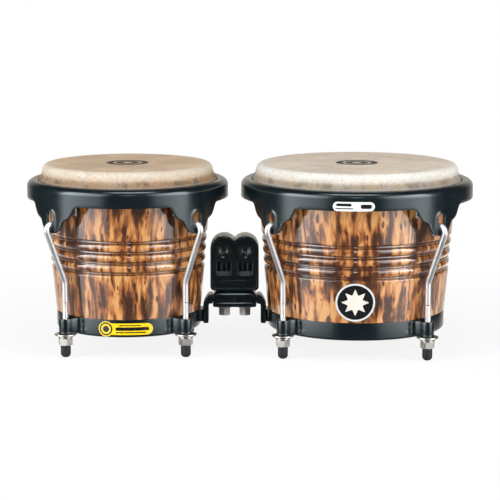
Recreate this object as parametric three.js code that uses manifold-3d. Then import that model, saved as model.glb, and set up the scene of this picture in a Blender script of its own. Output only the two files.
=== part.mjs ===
// Bongo drums: two open-bottomed wooden drums of different diameter, joined by a clamped centre block.
// Millimetres, +Z up. X runs from the small drum to the large drum, and -Y is the player's front.
// The origin is on the floor under the middle of the whole object. Every drum stands on the rubber
// caps of its four tuning lugs, and the lugs hook into the rim and are drawn down by nuts under the ears
// of the bottom ring.

import * as THREE from 'three';
import { mergeVertices } from 'three/addons/utils/BufferGeometryUtils.js';
import Module from 'manifold-3d';

const wasm = await Module();
wasm.setup();

// ---------------------------------------------------------------- driving dimensions

const ROUND = 32; // facets round a drum
const GAP = 0.3; // clearance between pieces that rest on one another

// Heads of 6 3/4 and 8 inches across the playing surface. twist turns a drum's fittings about its axis.
const SMALL = {
  name: 'small', axisX: -123.35, headRadius: 85.7, rimRadius: 101.3, ringRadius: 72.9,
  lowestGroove: 86.1, twist: 0, blockSide: 1,
};
const LARGE = {
  name: 'large', axisX: 107.75, headRadius: 101.5, rimRadius: 116.9, ringRadius: 89.3,
  lowestGroove: 84.2, twist: -3.3, blockSide: -1,
};
const LUG_PLACES = { front_right: 45, back_right: 135, back_left: 225, front_left: 315 };

const HEAD_TOP = 187.4;
const SKIN = 1.3; // thickness of the head
const HEAD_ROLL = 6; // radius of the head's turn over the bearing edge

const RIM_CREST = 172.1;
const RIM_LIP = 11.2; // from the rim's wall in to its inner edge
const RIM_WALL = 2.6;
const RIM_SHOULDER = 166;
const RIM_EDGE = 154; // lower edge of the plain band
const LIP_FOOT = 163.2; // underside of the inner lip, on the flesh hoop
const PLATE_FOOT = 125.8; // lowest point of the four lug plates
const SLOT = { width: 9, low: 132, high: 148 };

const HOOP = { inset: 4.8, width: 6, low: 157, high: 162.9 }; // inset is measured from the rim's wall

const SHELL_TOP = HEAD_TOP - SKIN - GAP;
const SHELL_FOOT = 24.5;
const SHELL_WALL = 8.6;
const SHELL_BULGE = 0.9; // how far the staves' side stands out of a straight cone
const GROOVE = { pitch: 10.3, count: 4, depth: 1.7 };

const RING = { low: 22, high: 39.7, wall: 2.3, flange: 4.7 };
const LUG_STANDOFF = 11.4; // from the bottom ring's face to a lug's axis
const EAR = { low: 24.2, high: 39, outer: 6.5, wall: 2.3, halfWidth: 13 };

const LUG = { radius: 3, low: 3.2, lean: THREE.MathUtils.degToRad(23), bend: 15, hook: 6.3, tail: 4 };
const HOOK_TOP = SLOT.low + LUG.radius + 2 * GAP;
const WASHER = { radius: 11, hole: 3.6, low: 22.2, high: 23.9 };
const NUT = { low: 12.3, collarLow: 19.6, high: 21.9, acrossFlats: 12.7, collar: 7.5, bore: 3.4 };
const CAP = { radius: 5.1, high: 12, foot: 3.4, bore: 3.35, boreLow: 2.8 };

const BLOCK = {
  x: -15.6, halfWidth: 24.5, depth: 31, low: 58.6, chamfer: 3, bevel: 1.5,
  dome: 13.9, domeX: 10.6, domeZ: 100.5,
};
const BLOCK_DISC = { x: 10.8, z: 100.5, radius: 8, depth: 5 };
const BLOCK_POCKET = { x: 10.8, width: 14, low: 74.8, high: 88.2, depth: 8 };
const BLOCK_PANEL = { width: 43.8, low: 61.2, high: 73.2, depth: 0.8 };

const UPPER_PLATE = { width: 43, depth: 30, low: 51.8, high: 58.3 };
const LOWER_PLATE = { width: 44, depth: 30, low: 41.7, high: 46.2 };
const STRAP = { low: 46.5, high: 51.5, depth: 24, end: 0.5 }; // the tongue between the clamp plates
// The strap's cranked arm and its leg beside the ring; the lengths along X are measured from the block's middle.
const ARM = {
  start: 22.3, low: 44.8, high: 53.2, root: 24, elbow: 40.5, crown: 24.8, crownEnd: 27.6,
  shoulder: 29.2, shoulderZ: 49.6, bow: 32.6, bowZ: 43.5, heelZ: 39, outer: 26.4, inner: 31.8, foot: 24.7,
};
const WELD_PAD = { low: 26, high: 38.5, depth: 20, bite: 1.9 }; // joins the leg to the ring's wall
const BOLT = { x: 10.4, shank: 3.9, hole: 4.5, low: 31.3, headHigh: 38.8, high: 78, acrossFlats: 11.1 };
const BOLT_WASHER = { radius: 7.6, low: 39.1, high: 41.4 };
const CAPTIVE_NUT = { acrossFlats: 13, bore: 4.3, low: 58.9, high: 65.3 };

const BADGE = { radius: 19.15, z: 61, thickness: 1.2 };

// ---------------------------------------------------------------- materials

const finish = (color, roughness, metalness) => ({ color, roughness, metalness });
const LACQUERED_WOOD = finish(0xb97a48, 0.25, 0);
const SMALL_SKIN = finish(0xc9b59d, 0.7, 0);
const LARGE_SKIN = finish(0xd1cbc4, 0.7, 0);
const BLACK_STEEL = finish(0x202a2d, 0.38, 0.4);
const HOOP_STEEL = finish(0x8c8f92, 0.4, 1);
const CHROME = finish(0xd5d8da, 0.12, 1);
const NICKEL = finish(0xb9b6ad, 0.3, 1);
const RUBBER = finish(0x2d3234, 0.85, 0);
const BLOCK_PLASTIC = finish(0x16191b, 0.2, 0);
const ZINC = finish(0x9a9c9c, 0.35, 1);
const BADGE_ENAMEL = finish(0x1b1c1e, 0.25, 0.3);

// ---------------------------------------------------------------- shaping helpers

const polar = (radius, degrees) => {
  const turn = THREE.MathUtils.degToRad(degrees);
  return [radius * Math.sin(turn), -radius * Math.cos(turn)];
};

// A profile of [radius, height] pairs turned about +Z.
function turned(profile, segments = ROUND) {
  const points = profile.map(([radius, height]) => new THREE.Vector2(radius, height));
  return new THREE.LatheGeometry(points, segments).rotateX(Math.PI / 2);
}

// A turned ring of rectangular section.
function collar(inner, outer, low, high, segments = ROUND) {
  return turned([[inner, high], [inner, low], [outer, low], [outer, high], [inner, high]], segments);
}

// Points of an arc in the (radius, height) plane, angles in degrees from the outward direction.
function arc([centreR, centreZ], radius, from, to, steps) {
  return Array.from({ length: steps + 1 }, (_, i) => {
    const angle = THREE.MathUtils.degToRad(from + ((to - from) * i) / steps);
    return [centreR + radius * Math.cos(angle), centreZ + radius * Math.sin(angle)];
  });
}

// A flat outline in (X, Z), extruded along Y and centred on Y = 0.
function extrudedAlongY(shape, depth, options = {}) {
  const settings = { depth, bevelEnabled: false, curveSegments: 6, ...options };
  return new THREE.ExtrudeGeometry(shape, settings).rotateX(Math.PI / 2).translate(0, depth / 2, 0);
}

// A flat outline in (X, Y), extruded up from low to high.
function extrudedUp(shape, low, high, curveSegments = 12) {
  const settings = { depth: high - low, bevelEnabled: false, curveSegments };
  return new THREE.ExtrudeGeometry(shape, settings).translate(0, 0, low);
}

// An outline in (distance round the drum, height), run outward through a drum's wall at an angle.
function throughWall(shape, from, to, degrees, curveSegments) {
  const settings = { depth: to - from, bevelEnabled: false, curveSegments };
  const geometry = new THREE.ExtrudeGeometry(shape, settings).translate(0, 0, from);
  return geometry.rotateX(Math.PI / 2).rotateZ(THREE.MathUtils.degToRad(degrees));
}

function box(width, depth, low, high) {
  return new THREE.BoxGeometry(width, depth, high - low).translate(0, 0, (low + high) / 2);
}

function circle(x, y, radius) {
  return new THREE.Path().absarc(x, y, radius, 0, 2 * Math.PI);
}

function hexagon(acrossFlats) {
  const corner = acrossFlats / Math.sqrt(3);
  const corners = Array.from({ length: 6 }, (_, i) => new THREE.Vector2(...polar(corner, 60 * i)));
  return new THREE.Shape(corners);
}

// A path that keeps exactly to its points, so that an extrusion has one section at each.
class BentPath extends THREE.Curve {
  constructor(points) {
    super();
    this.points = points;
  }

  getPoint(t, target = new THREE.Vector3()) {
    const place = t * (this.points.length - 1);
    const i = Math.min(Math.floor(place), this.points.length - 2);
    return target.lerpVectors(this.points[i], this.points[i + 1], place - i);
  }

  getPointAt(t, target) {
    return this.getPoint(t, target);
  }

  getTangentAt(t, target = new THREE.Vector3()) {
    const last = this.points.length - 1;
    const i = Math.round(t * last);
    const into = this.points[Math.max(i, 1)].clone().sub(this.points[Math.max(i, 1) - 1]).normalize();
    const out = this.points[Math.min(i, last - 1) + 1].clone().sub(this.points[Math.min(i, last - 1)]);
    return target.copy(into).add(out.normalize()).normalize();
  }
}

// ---------------------------------------------------------------- joining and cutting

function solid(geometry) {
  const bare = geometry.clone();
  bare.deleteAttribute('normal');
  bare.deleteAttribute('uv');
  const merged = mergeVertices(bare);
  const index = merged.index.array;
  const faces = [];
  for (let i = 0; i < index.length; i += 3) {
    const [a, b, c] = [index[i], index[i + 1], index[i + 2]];
    if (a !== b && b !== c && c !== a) faces.push(a, b, c);
  }
  return new wasm.Manifold(new wasm.Mesh({
    numProp: 3,
    vertProperties: new Float32Array(merged.attributes.position.array),
    triVerts: new Uint32Array(faces),
  }));
}

function geometryOf(body) {
  const mesh = body.getMesh();
  const geometry = new THREE.BufferGeometry();
  geometry.setAttribute('position', new THREE.BufferAttribute(mesh.vertProperties, 3));
  geometry.setIndex(new THREE.BufferAttribute(mesh.triVerts, 1));
  geometry.computeVertexNormals();
  return geometry;
}

const lugAngles = (drum) => Object.values(LUG_PLACES).map((degrees) => degrees + drum.twist);

// ---------------------------------------------------------------- the drum's own pieces

// Outside radius of a drum's wooden side at a height, without its grooves.
function sideRadius(drum, z) {
  const foot = drum.ringRadius + GAP;
  const top = drum.headRadius - SKIN - GAP;
  const t = (z - RING.high) / (HEAD_TOP - HEAD_ROLL - RING.high);
  return THREE.MathUtils.lerp(foot, top, t) + 4 * SHELL_BULGE * t * (1 - t);
}

// Rebated foot inside the bottom ring, tapered side with a band of round beads, rounded bearing edge.
function shellGeometry(drum) {
  const rebate = drum.ringRadius - RING.wall - GAP - 0.1;
  const shoulder = RING.high + GAP;
  const profile = [[rebate, SHELL_FOOT], [rebate, shoulder], [sideRadius(drum, shoulder), shoulder]];
  profile.push([sideRadius(drum, BADGE.z), BADGE.z]);
  profile.push([sideRadius(drum, drum.lowestGroove - 3), drum.lowestGroove - 3]);
  for (let i = 0; i < GROOVE.count; i += 1) {
    const groove = drum.lowestGroove + i * GROOVE.pitch;
    profile.push([sideRadius(drum, groove) - GROOVE.depth, groove]);
    if (i < GROOVE.count - 1) {
      const crest = groove + GROOVE.pitch / 2;
      profile.push([sideRadius(drum, crest - 2) - 0.2, crest - 2]);
      profile.push([sideRadius(drum, crest + 2) - 0.2, crest + 2]);
    }
  }
  const beadsEnd = drum.lowestGroove + (GROOVE.count - 1) * GROOVE.pitch + 4;
  profile.push([sideRadius(drum, beadsEnd), beadsEnd]);
  const roll = HEAD_ROLL - SKIN;
  const edge = sideRadius(drum, SHELL_TOP - roll) - roll;
  profile.push(...arc([edge, SHELL_TOP - roll], roll, 0, 90, 2));
  profile.push([edge - 2, SHELL_TOP], [edge - SHELL_WALL + roll, SHELL_TOP - 4]);
  profile.push([rebate - SHELL_WALL + 2, SHELL_FOOT], [rebate, SHELL_FOOT]);
  return turned(profile);
}

// Rawhide: flat playing surface, rolled edge, flared skirt, and the tuck round the flesh hoop.
function headGeometry(drum) {
  const skirt = drum.rimRadius - RIM_LIP - GAP;
  const hoopOuter = drum.rimRadius - HOOP.inset;
  const rollCentre = [drum.headRadius - HEAD_ROLL, HEAD_TOP - HEAD_ROLL];
  const channel = HOOP.low - GAP;
  const outside = [
    [0, HEAD_TOP],
    ...arc(rollCentre, HEAD_ROLL, 90, 0, 2),
    [skirt - 0.3, RIM_CREST - 1],
    [skirt, LIP_FOOT],
    [skirt, channel],
    [hoopOuter + GAP, channel],
    [hoopOuter + GAP, HOOP.high - 1],
  ];
  const inside = [
    [hoopOuter + GAP + SKIN, HOOP.high - 1],
    [hoopOuter + GAP + SKIN, channel - SKIN],
    [skirt - SKIN, channel - SKIN],
    [skirt - SKIN, LIP_FOOT],
    [skirt - 0.3 - SKIN, RIM_CREST - 1],
    ...arc(rollCentre, HEAD_ROLL - SKIN, 0, 90, 2),
    [0, HEAD_TOP - SKIN],
  ];
  return turned([...outside, ...inside].reverse());
}

function fleshHoopGeometry(drum) {
  const outer = drum.rimRadius - HOOP.inset;
  return collar(outer - HOOP.width, outer, HOOP.low, HOOP.high);
}

// Half outline of a lug plate, from the band down the ogee to the rounded foot, mirrored.
function plateOutline() {
  const shape = new THREE.Shape();
  shape.moveTo(-33, RIM_EDGE + 1);
  shape.quadraticCurveTo(-27, 143.5, -20.5, 141);
  shape.quadraticCurveTo(-16.8, 139.4, -15.6, 136.8);
  shape.bezierCurveTo(-12, 129.5, -8, PLATE_FOOT, 0, PLATE_FOOT);
  shape.bezierCurveTo(8, PLATE_FOOT, 12, 129.5, 15.6, 136.8);
  shape.quadraticCurveTo(16.8, 139.4, 20.5, 141);
  shape.quadraticCurveTo(27, 143.5, 33, RIM_EDGE + 1);
  return shape;
}

// Upright slot with round ends, which the lug hooks through.
function slotOutline() {
  const r = SLOT.width / 2;
  const shape = new THREE.Shape();
  shape.absarc(0, SLOT.low + r, r, Math.PI, 2 * Math.PI);
  shape.absarc(0, SLOT.high - r, r, 0, Math.PI);
  return shape;
}

// Pressed steel counterhoop: plain band, rounded crest, inner lip on the hoop, and four lug plates.
function rimGeometry(drum) {
  const wall = drum.rimRadius;
  const inner = wall - RIM_LIP;
  const band = solid(turned([
    [wall - RIM_WALL, RIM_EDGE], [wall, RIM_EDGE],
    [wall, RIM_SHOULDER], [wall - 2.2, RIM_CREST - 2], [wall - 7.3, RIM_CREST],
    [inner + 1, RIM_CREST], [inner, RIM_CREST - 1.5],
    [inner, LIP_FOOT], [inner + RIM_WALL, LIP_FOOT],
    [inner + RIM_WALL, RIM_CREST - RIM_WALL - 0.6], [wall - RIM_WALL, RIM_SHOULDER - 1],
    [wall - RIM_WALL, RIM_EDGE],
  ]));
  const skirt = solid(collar(wall - RIM_WALL, wall, PLATE_FOOT - 1, RIM_EDGE + 0.5));
  let rim = band;
  for (const degrees of lugAngles(drum)) {
    const plate = solid(throughWall(plateOutline(), wall - 12, wall + 5, degrees, 3));
    rim = rim.add(skirt.intersect(plate));
  }
  for (const degrees of lugAngles(drum)) {
    rim = rim.subtract(solid(throughWall(slotOutline(), wall - 12, wall + 5, degrees, 4)));
  }
  return geometryOf(rim);
}

// One ear: a strap bent round the lug and welded back to the ring, in plan about the drum's axis.
function earOutline(drum) {
  const axis = drum.ringRadius + LUG_STANDOFF;
  const root = Math.sqrt(drum.ringRadius ** 2 - EAR.halfWidth ** 2) - 1;
  const bore = EAR.outer - EAR.wall;
  const shape = new THREE.Shape();
  shape.moveTo(-EAR.halfWidth, -root);
  shape.quadraticCurveTo(-EAR.outer, -root - 2.6, -EAR.outer, -axis);
  shape.absarc(0, -axis, EAR.outer, Math.PI, 2 * Math.PI);
  shape.quadraticCurveTo(EAR.outer, -root - 2.6, EAR.halfWidth, -root);
  const eye = new THREE.Path();
  eye.moveTo(bore, -drum.ringRadius - 0.6);
  eye.lineTo(-bore, -drum.ringRadius - 0.6);
  eye.lineTo(-bore, -axis);
  eye.absarc(0, -axis, bore, Math.PI, 2 * Math.PI);
  shape.holes.push(eye);
  return shape;
}

// Section of the strap that carries the ring's pull to the centre clamp, in (distance from axis, Z).
function strapOutline(span) {
  const at = (fromMiddle) => span - fromMiddle;
  const shape = new THREE.Shape();
  shape.moveTo(at(ARM.inner), ARM.foot);
  shape.lineTo(at(ARM.outer), ARM.foot);
  shape.lineTo(at(ARM.outer), ARM.elbow);
  shape.quadraticCurveTo(at(ARM.outer), ARM.low, at(ARM.root), ARM.low);
  shape.lineTo(at(ARM.start), ARM.low);
  shape.lineTo(at(ARM.start), STRAP.low);
  shape.lineTo(at(STRAP.end), STRAP.low);
  shape.lineTo(at(STRAP.end), STRAP.high);
  shape.lineTo(at(ARM.start), STRAP.high);
  shape.lineTo(at(ARM.start), ARM.high);
  shape.lineTo(at(ARM.crown), ARM.high);
  shape.quadraticCurveTo(at(ARM.crownEnd), ARM.high, at(ARM.shoulder), ARM.shoulderZ);
  shape.quadraticCurveTo(at(ARM.bow), ARM.bowZ, at(ARM.inner), ARM.heelZ);
  return shape;
}

// Steel ring round the shell's foot with its four welded ears and the welded centre strap.
function bottomRingGeometry(drum) {
  const outer = drum.ringRadius;
  const inner = outer - RING.wall;
  const flange = inner - RING.flange;
  const floor = RING.low + RING.wall;
  let ring = solid(turned([
    [inner, RING.high], [inner, floor], [flange, floor], [flange, RING.low],
    [outer - 1, RING.low], [outer, RING.low + 1], [outer, RING.high], [inner, RING.high],
  ]));
  for (const degrees of lugAngles(drum)) {
    const ear = extrudedUp(earOutline(drum), EAR.low, EAR.high, 4);
    ring = ring.add(solid(ear.rotateZ(THREE.MathUtils.degToRad(degrees))));
  }
  const span = Math.abs(drum.axisX - BLOCK.x);
  const strap = solid(extrudedAlongY(strapOutline(span), STRAP.depth, { curveSegments: 4 }));
  const [near, far] = [outer - WELD_PAD.bite, span - ARM.inner + 1];
  const pad = box(far - near, WELD_PAD.depth, WELD_PAD.low, WELD_PAD.high).translate((near + far) / 2, 0, 0);
  const hole = solid(collarPin(BOLT.hole, STRAP.low - 1, STRAP.high + 1).translate(span - BOLT.x, 0, 0));
  const arm = strap.add(solid(pad)).subtract(hole).rotate([0, 0, drum.blockSide > 0 ? 0 : 180]);
  return geometryOf(ring.add(arm));
}

// A plain upright pin, used as a cutter.
function collarPin(radius, low, high, segments = 16) {
  return new THREE.CylinderGeometry(radius, radius, high - low, segments)
    .rotateX(Math.PI / 2).translate(0, 0, (low + high) / 2);
}

// Tuning lug: a steel rod that stands on its cap, leans out and hooks through the rim's slot.
function lugGeometry(drum) {
  const foot = drum.ringRadius + LUG_STANDOFF;
  const hookCentre = [drum.rimRadius - RIM_WALL / 2, HOOK_TOP - LUG.hook];
  const lean = THREE.MathUtils.radToDeg(LUG.lean);
  const hook = arc(hookCentre, LUG.hook, -lean, 180, 6);
  const [hookR, hookZ] = hook[0];
  const bendZ = hookZ - (hookR - foot) / Math.tan(LUG.lean);
  const bendCentre = [foot + LUG.bend, bendZ - LUG.bend * Math.tan(LUG.lean / 2)];
  const bend = arc(bendCentre, LUG.bend, 180, 180 - lean, 2);
  const tail = [hookCentre[0] - LUG.hook, hookCentre[1] - LUG.tail];
  const route = [[foot, LUG.low], ...bend, ...hook, tail].map(([r, z]) => new THREE.Vector3(0, -r, z));
  const section = new THREE.Shape().absarc(0, 0, LUG.radius, 0, 2 * Math.PI);
  return new THREE.ExtrudeGeometry(section, {
    extrudePath: new BentPath(route), steps: route.length - 1, curveSegments: 3, bevelEnabled: false,
  });
}

const washerGeometry = () => collar(WASHER.hole, WASHER.radius, WASHER.low, WASHER.high, 12);

// Tuning nut: hexagon below, round collar above, one bore for the rod.
function nutGeometry() {
  const hex = solid(extrudedUp(hexagon(NUT.acrossFlats), NUT.low, NUT.collarLow));
  const top = solid(collarPin(NUT.collar, NUT.collarLow - 0.5, NUT.high, 12));
  const bore = solid(collarPin(NUT.bore, NUT.low - 1, NUT.high + 1, 10));
  return geometryOf(hex.add(top).subtract(bore));
}

// Rubber foot pushed over the rod's end, with a flat sole and a blind bore.
function capGeometry() {
  return turned([
    [0, 0], [CAP.foot, 0], [CAP.radius, 2.2], [CAP.radius, CAP.high],
    [CAP.bore, CAP.high], [CAP.bore, CAP.boreLow], [0, CAP.boreLow],
  ], 12);
}

// Enamelled disc that follows the large shell's side.
function badgeGeometry(drum) {
  const [low, high] = [BADGE.z - 20, BADGE.z + 20];
  const offset = (z, out) => [sideRadius(drum, z) + out, z];
  const inner = 0.9;
  const outer = inner + BADGE.thickness;
  const skin = solid(turned([
    offset(low, inner), offset(low, outer), offset(BADGE.z, outer), offset(high, outer),
    offset(high, inner), offset(BADGE.z, inner), offset(low, inner),
  ]));
  const disc = new THREE.Shape().absarc(0, BADGE.z, BADGE.radius, 0, 2 * Math.PI);
  const cutter = solid(throughWall(disc, drum.ringRadius - 8, drum.ringRadius + 20, drum.twist, 10));
  return geometryOf(skin.intersect(cutter));
}

// ---------------------------------------------------------------- the centre block and its clamp

function blockOutline() {
  const { halfWidth, low, dome, domeX, domeZ, chamfer } = BLOCK;
  const notch = Math.acos(-domeX / dome);
  const shape = new THREE.Shape();
  shape.moveTo(-halfWidth, low + chamfer);
  shape.lineTo(-halfWidth + chamfer, low);
  shape.lineTo(halfWidth - chamfer, low);
  shape.lineTo(halfWidth, low + chamfer);
  shape.absarc(domeX, domeZ, dome, 0, notch);
  shape.absarc(-domeX, domeZ, dome, Math.PI - notch, Math.PI);
  return shape;
}

// Moulded block: two domes over a pair of round recesses, two pockets and a plain panel on each face.
function blockGeometry() {
  const { depth, bevel, low } = BLOCK;
  const bevels = {
    bevelEnabled: true, bevelThickness: bevel, bevelSize: bevel, bevelOffset: -bevel, bevelSegments: 1,
  };
  let block = solid(extrudedAlongY(blockOutline(), depth - 2 * bevel, bevels));
  const face = depth / 2;
  for (const front of [-1, 1]) {
    for (const side of [-1, 1]) {
      const disc = collarPin(BLOCK_DISC.radius, -BLOCK_DISC.depth, BLOCK_DISC.depth).rotateX(Math.PI / 2);
      block = block.subtract(solid(disc.translate(side * BLOCK_DISC.x, front * face, BLOCK_DISC.z)));
      const pocket = box(BLOCK_POCKET.width, 2 * BLOCK_POCKET.depth, BLOCK_POCKET.low, BLOCK_POCKET.high);
      block = block.subtract(solid(pocket.translate(side * BLOCK_POCKET.x, front * face, 0)));
    }
    const panel = box(BLOCK_PANEL.width, 2 * BLOCK_PANEL.depth, BLOCK_PANEL.low, BLOCK_PANEL.high);
    block = block.subtract(solid(panel.translate(0, front * face, 0)));
  }
  for (const side of [-1, 1]) {
    const pocket = extrudedUp(hexagon(CAPTIVE_NUT.acrossFlats + 0.8), low - 1, CAPTIVE_NUT.high + GAP);
    const bore = collarPin(BOLT.hole, low - 1, BOLT.high + 2);
    block = block.subtract(solid(pocket.translate(side * BOLT.x, 0, 0)));
    block = block.subtract(solid(bore.translate(side * BOLT.x, 0, 0)));
  }
  return geometryOf(block);
}

// A clamp plate with rounded corners and two bolt holes.
function plateGeometry({ width, depth, low, high }) {
  const [x, y, r] = [width / 2, depth / 2, 4];
  const shape = new THREE.Shape();
  shape.absarc(x - r, -y + r, r, -Math.PI / 2, 0);
  shape.absarc(x - r, y - r, r, 0, Math.PI / 2);
  shape.absarc(-x + r, y - r, r, Math.PI / 2, Math.PI);
  shape.absarc(-x + r, -y + r, r, Math.PI, 1.5 * Math.PI);
  shape.holes.push(circle(-BOLT.x, 0, BOLT.hole), circle(BOLT.x, 0, BOLT.hole));
  return extrudedUp(shape, low, high, 4);
}

function boltGeometry() {
  const head = solid(extrudedUp(hexagon(BOLT.acrossFlats), BOLT.low, BOLT.headHigh));
  return geometryOf(head.add(solid(collarPin(BOLT.shank, BOLT.headHigh - 1, BOLT.high, 12))));
}

function captiveNutGeometry() {
  const shape = hexagon(CAPTIVE_NUT.acrossFlats);
  shape.holes.push(circle(0, 0, CAPTIVE_NUT.bore));
  return extrudedUp(shape, CAPTIVE_NUT.low, CAPTIVE_NUT.high, 6);
}

// ---------------------------------------------------------------- assembly

function piece(parent, name, geometry, look, position = [0, 0, 0]) {
  const mesh = new THREE.Mesh(geometry, new THREE.MeshStandardMaterial(look));
  mesh.name = name;
  mesh.position.set(...position);
  parent.add(mesh);
  return mesh;
}

function buildDrum(drum, skin) {
  const group = new THREE.Group();
  group.position.x = drum.axisX;
  piece(group, `${drum.name}_shell`, shellGeometry(drum), LACQUERED_WOOD);
  piece(group, `${drum.name}_head`, headGeometry(drum), skin);
  piece(group, `${drum.name}_flesh_hoop`, fleshHoopGeometry(drum), HOOP_STEEL);
  piece(group, `${drum.name}_rim`, rimGeometry(drum), BLACK_STEEL);
  piece(group, `${drum.name}_bottom_ring`, bottomRingGeometry(drum), BLACK_STEEL);
  for (const [place, degrees] of Object.entries(LUG_PLACES)) {
    const angle = degrees + drum.twist;
    const turn = THREE.MathUtils.degToRad(angle);
    const stand = [...polar(drum.ringRadius + LUG_STANDOFF, angle), 0];
    piece(group, `${drum.name}_lug_${place}`, lugGeometry(drum), CHROME).rotation.z = turn;
    piece(group, `${drum.name}_washer_${place}`, washerGeometry(), NICKEL, stand).rotation.z = turn;
    piece(group, `${drum.name}_nut_${place}`, nutGeometry(), NICKEL, stand).rotation.z = turn;
    piece(group, `${drum.name}_cap_${place}`, capGeometry(), RUBBER, stand).rotation.z = turn;
  }
  return group;
}

function buildCentre() {
  const group = new THREE.Group();
  group.position.x = BLOCK.x;
  piece(group, 'centre_block', blockGeometry(), BLOCK_PLASTIC);
  piece(group, 'upper_clamp_plate', plateGeometry(UPPER_PLATE), BLACK_STEEL);
  piece(group, 'lower_clamp_plate', plateGeometry(LOWER_PLATE), BLACK_STEEL);
  for (const [side, x] of [['left', -BOLT.x], ['right', BOLT.x]]) {
    piece(group, `clamp_bolt_${side}`, boltGeometry(), ZINC, [x, 0, 0]);
    const washer = collar(BOLT.hole, BOLT_WASHER.radius, BOLT_WASHER.low, BOLT_WASHER.high, 12);
    piece(group, `clamp_washer_${side}`, washer, ZINC, [x, 0, 0]);
    piece(group, `captive_nut_${side}`, captiveNutGeometry(), ZINC, [x, 0, 0]);
  }
  return group;
}

const bongoDrums = new THREE.Group();
const largeDrum = buildDrum(LARGE, LARGE_SKIN);
piece(largeDrum, 'large_badge', badgeGeometry(LARGE), BADGE_ENAMEL);
bongoDrums.add(buildDrum(SMALL, SMALL_SKIN), largeDrum, buildCentre());

export default bongoDrums;
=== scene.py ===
"""Bongo drums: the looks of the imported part.

Shapes are drawn in millimetres. Materials, the floor, the lights and the camera are in metres.
"""

import math
import random

import bmesh
import bpy
import numpy as np
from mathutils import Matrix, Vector, geometry, noise


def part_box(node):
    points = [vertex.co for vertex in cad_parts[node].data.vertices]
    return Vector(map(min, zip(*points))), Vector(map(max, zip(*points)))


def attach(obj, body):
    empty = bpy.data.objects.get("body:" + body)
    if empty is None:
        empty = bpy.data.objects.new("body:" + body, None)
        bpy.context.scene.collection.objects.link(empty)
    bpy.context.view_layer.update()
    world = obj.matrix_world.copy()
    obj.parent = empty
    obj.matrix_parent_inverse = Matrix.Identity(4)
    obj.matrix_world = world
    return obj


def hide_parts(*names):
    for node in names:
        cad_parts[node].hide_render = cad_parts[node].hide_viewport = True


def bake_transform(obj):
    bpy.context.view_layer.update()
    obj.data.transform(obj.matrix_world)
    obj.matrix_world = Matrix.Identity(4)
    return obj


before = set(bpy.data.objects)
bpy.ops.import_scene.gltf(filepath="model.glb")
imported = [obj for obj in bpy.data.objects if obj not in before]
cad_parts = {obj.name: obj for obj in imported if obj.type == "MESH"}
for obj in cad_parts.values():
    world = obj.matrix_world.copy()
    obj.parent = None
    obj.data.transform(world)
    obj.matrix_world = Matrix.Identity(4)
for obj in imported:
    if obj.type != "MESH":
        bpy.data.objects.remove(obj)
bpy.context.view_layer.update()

MM = 0.001
TAU = 2 * math.pi
LUG_PLACES = {"front_right": 45, "back_right": 135, "back_left": 225, "front_left": 315}


# ---------------- sizes read from the frame

def node_box(name):
    """Lowest and highest corners of a CAD node in millimetres."""
    low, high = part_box(name)
    return np.array(low) / MM, np.array(high) / MM


class Drum:
    """The driving sizes of one drum, taken from its CAD nodes."""

    def __init__(self, name):
        self.name = name
        nodes = ("rim", "bottom_ring", "shell", "head", "flesh_hoop", "lug_front_right", "cap_front_right")
        rim, ring, shell, head, hoop, lug, cap = (node_box(f"{name}_{node}") for node in nodes)
        self.x = (rim[0][0] + rim[1][0]) / 2
        self.rim, self.ring, self.hoop = ((high[1] - low[1]) / 2 for low, high in (rim, ring, hoop))
        self.shell_top_radius = (shell[1][1] - shell[0][1]) / 2
        self.shell_low, self.shell_high = shell[0][2], shell[1][2]
        self.hoop_low, self.hoop_high = hoop[0][2], hoop[1][2]
        self.lug_low, self.lug_high = lug[0][2], lug[1][2]
        self.head_top, self.crest, self.ring_low = head[1][2], rim[1][2], ring[0][2]
        cap_x, cap_y = (cap[0][0] + cap[1][0]) / 2 - self.x, (cap[0][1] + cap[1][1]) / 2
        self.lug = math.hypot(cap_x, cap_y)
        self.twist = math.degrees(math.atan2(cap_x, -cap_y)) - LUG_PLACES["front_right"]

    def azimuth(self, place):
        return LUG_PLACES[place] + self.twist


SMALL, LARGE = Drum("small"), Drum("large")

# The hide's thickness and the radius of its edge, and the top of the bottom rings.
SKIN = 1.3
HEAD_ROLL = 6.0
RING_HIGH = 39.7
SHELL_WALL = 8.6
SHELL_BULGE = 0.9
# The turned band: four grooves, with a round bead between each two.
GROOVE_PITCH = 10.3
GROOVE_DEPTH = 1.75
GROOVES = 4
LOWEST_GROOVE = {"small": 86.1, "large": 84.2}
# The rim: its sheet, its lower edge between the lug plates, its shoulder, and how far in its lip is.
PLATE_WALL = 2.6
RIM_EDGE = 154.0
RIM_SHOULDER = 165.6
RIM_LIP = 11.2
# The rim's wall is drawn in by this much, so that its label stays inside the CAD model's box.
LABEL_PROUD = 0.1
SLOT_HALF_WIDTH, SLOT_LOW, SLOT_HIGH = 4.5, 132.0, 148.0
LUG_RADIUS = 3.0


# ---------------- mesh helpers

def polar(radius, degrees):
    turn = math.radians(degrees)
    return radius * math.sin(turn), -radius * math.cos(turn)


def arc(centre, radius, start, end, steps):
    """Points of an arc in a profile plane; the angles are degrees from the first axis."""
    turns = np.radians(np.linspace(start, end, steps + 1))
    return [(centre[0] + radius * math.cos(t), centre[1] + radius * math.sin(t)) for t in turns]


def line(start, end, count):
    """Points along a straight stretch of a profile, with both ends."""
    return list(zip(np.linspace(start[0], end[0], count), np.linspace(start[1], end[1], count)))


def rectangle(left, low, right, high):
    return [(left, low), (right, low), (right, high), (left, high)]


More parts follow.
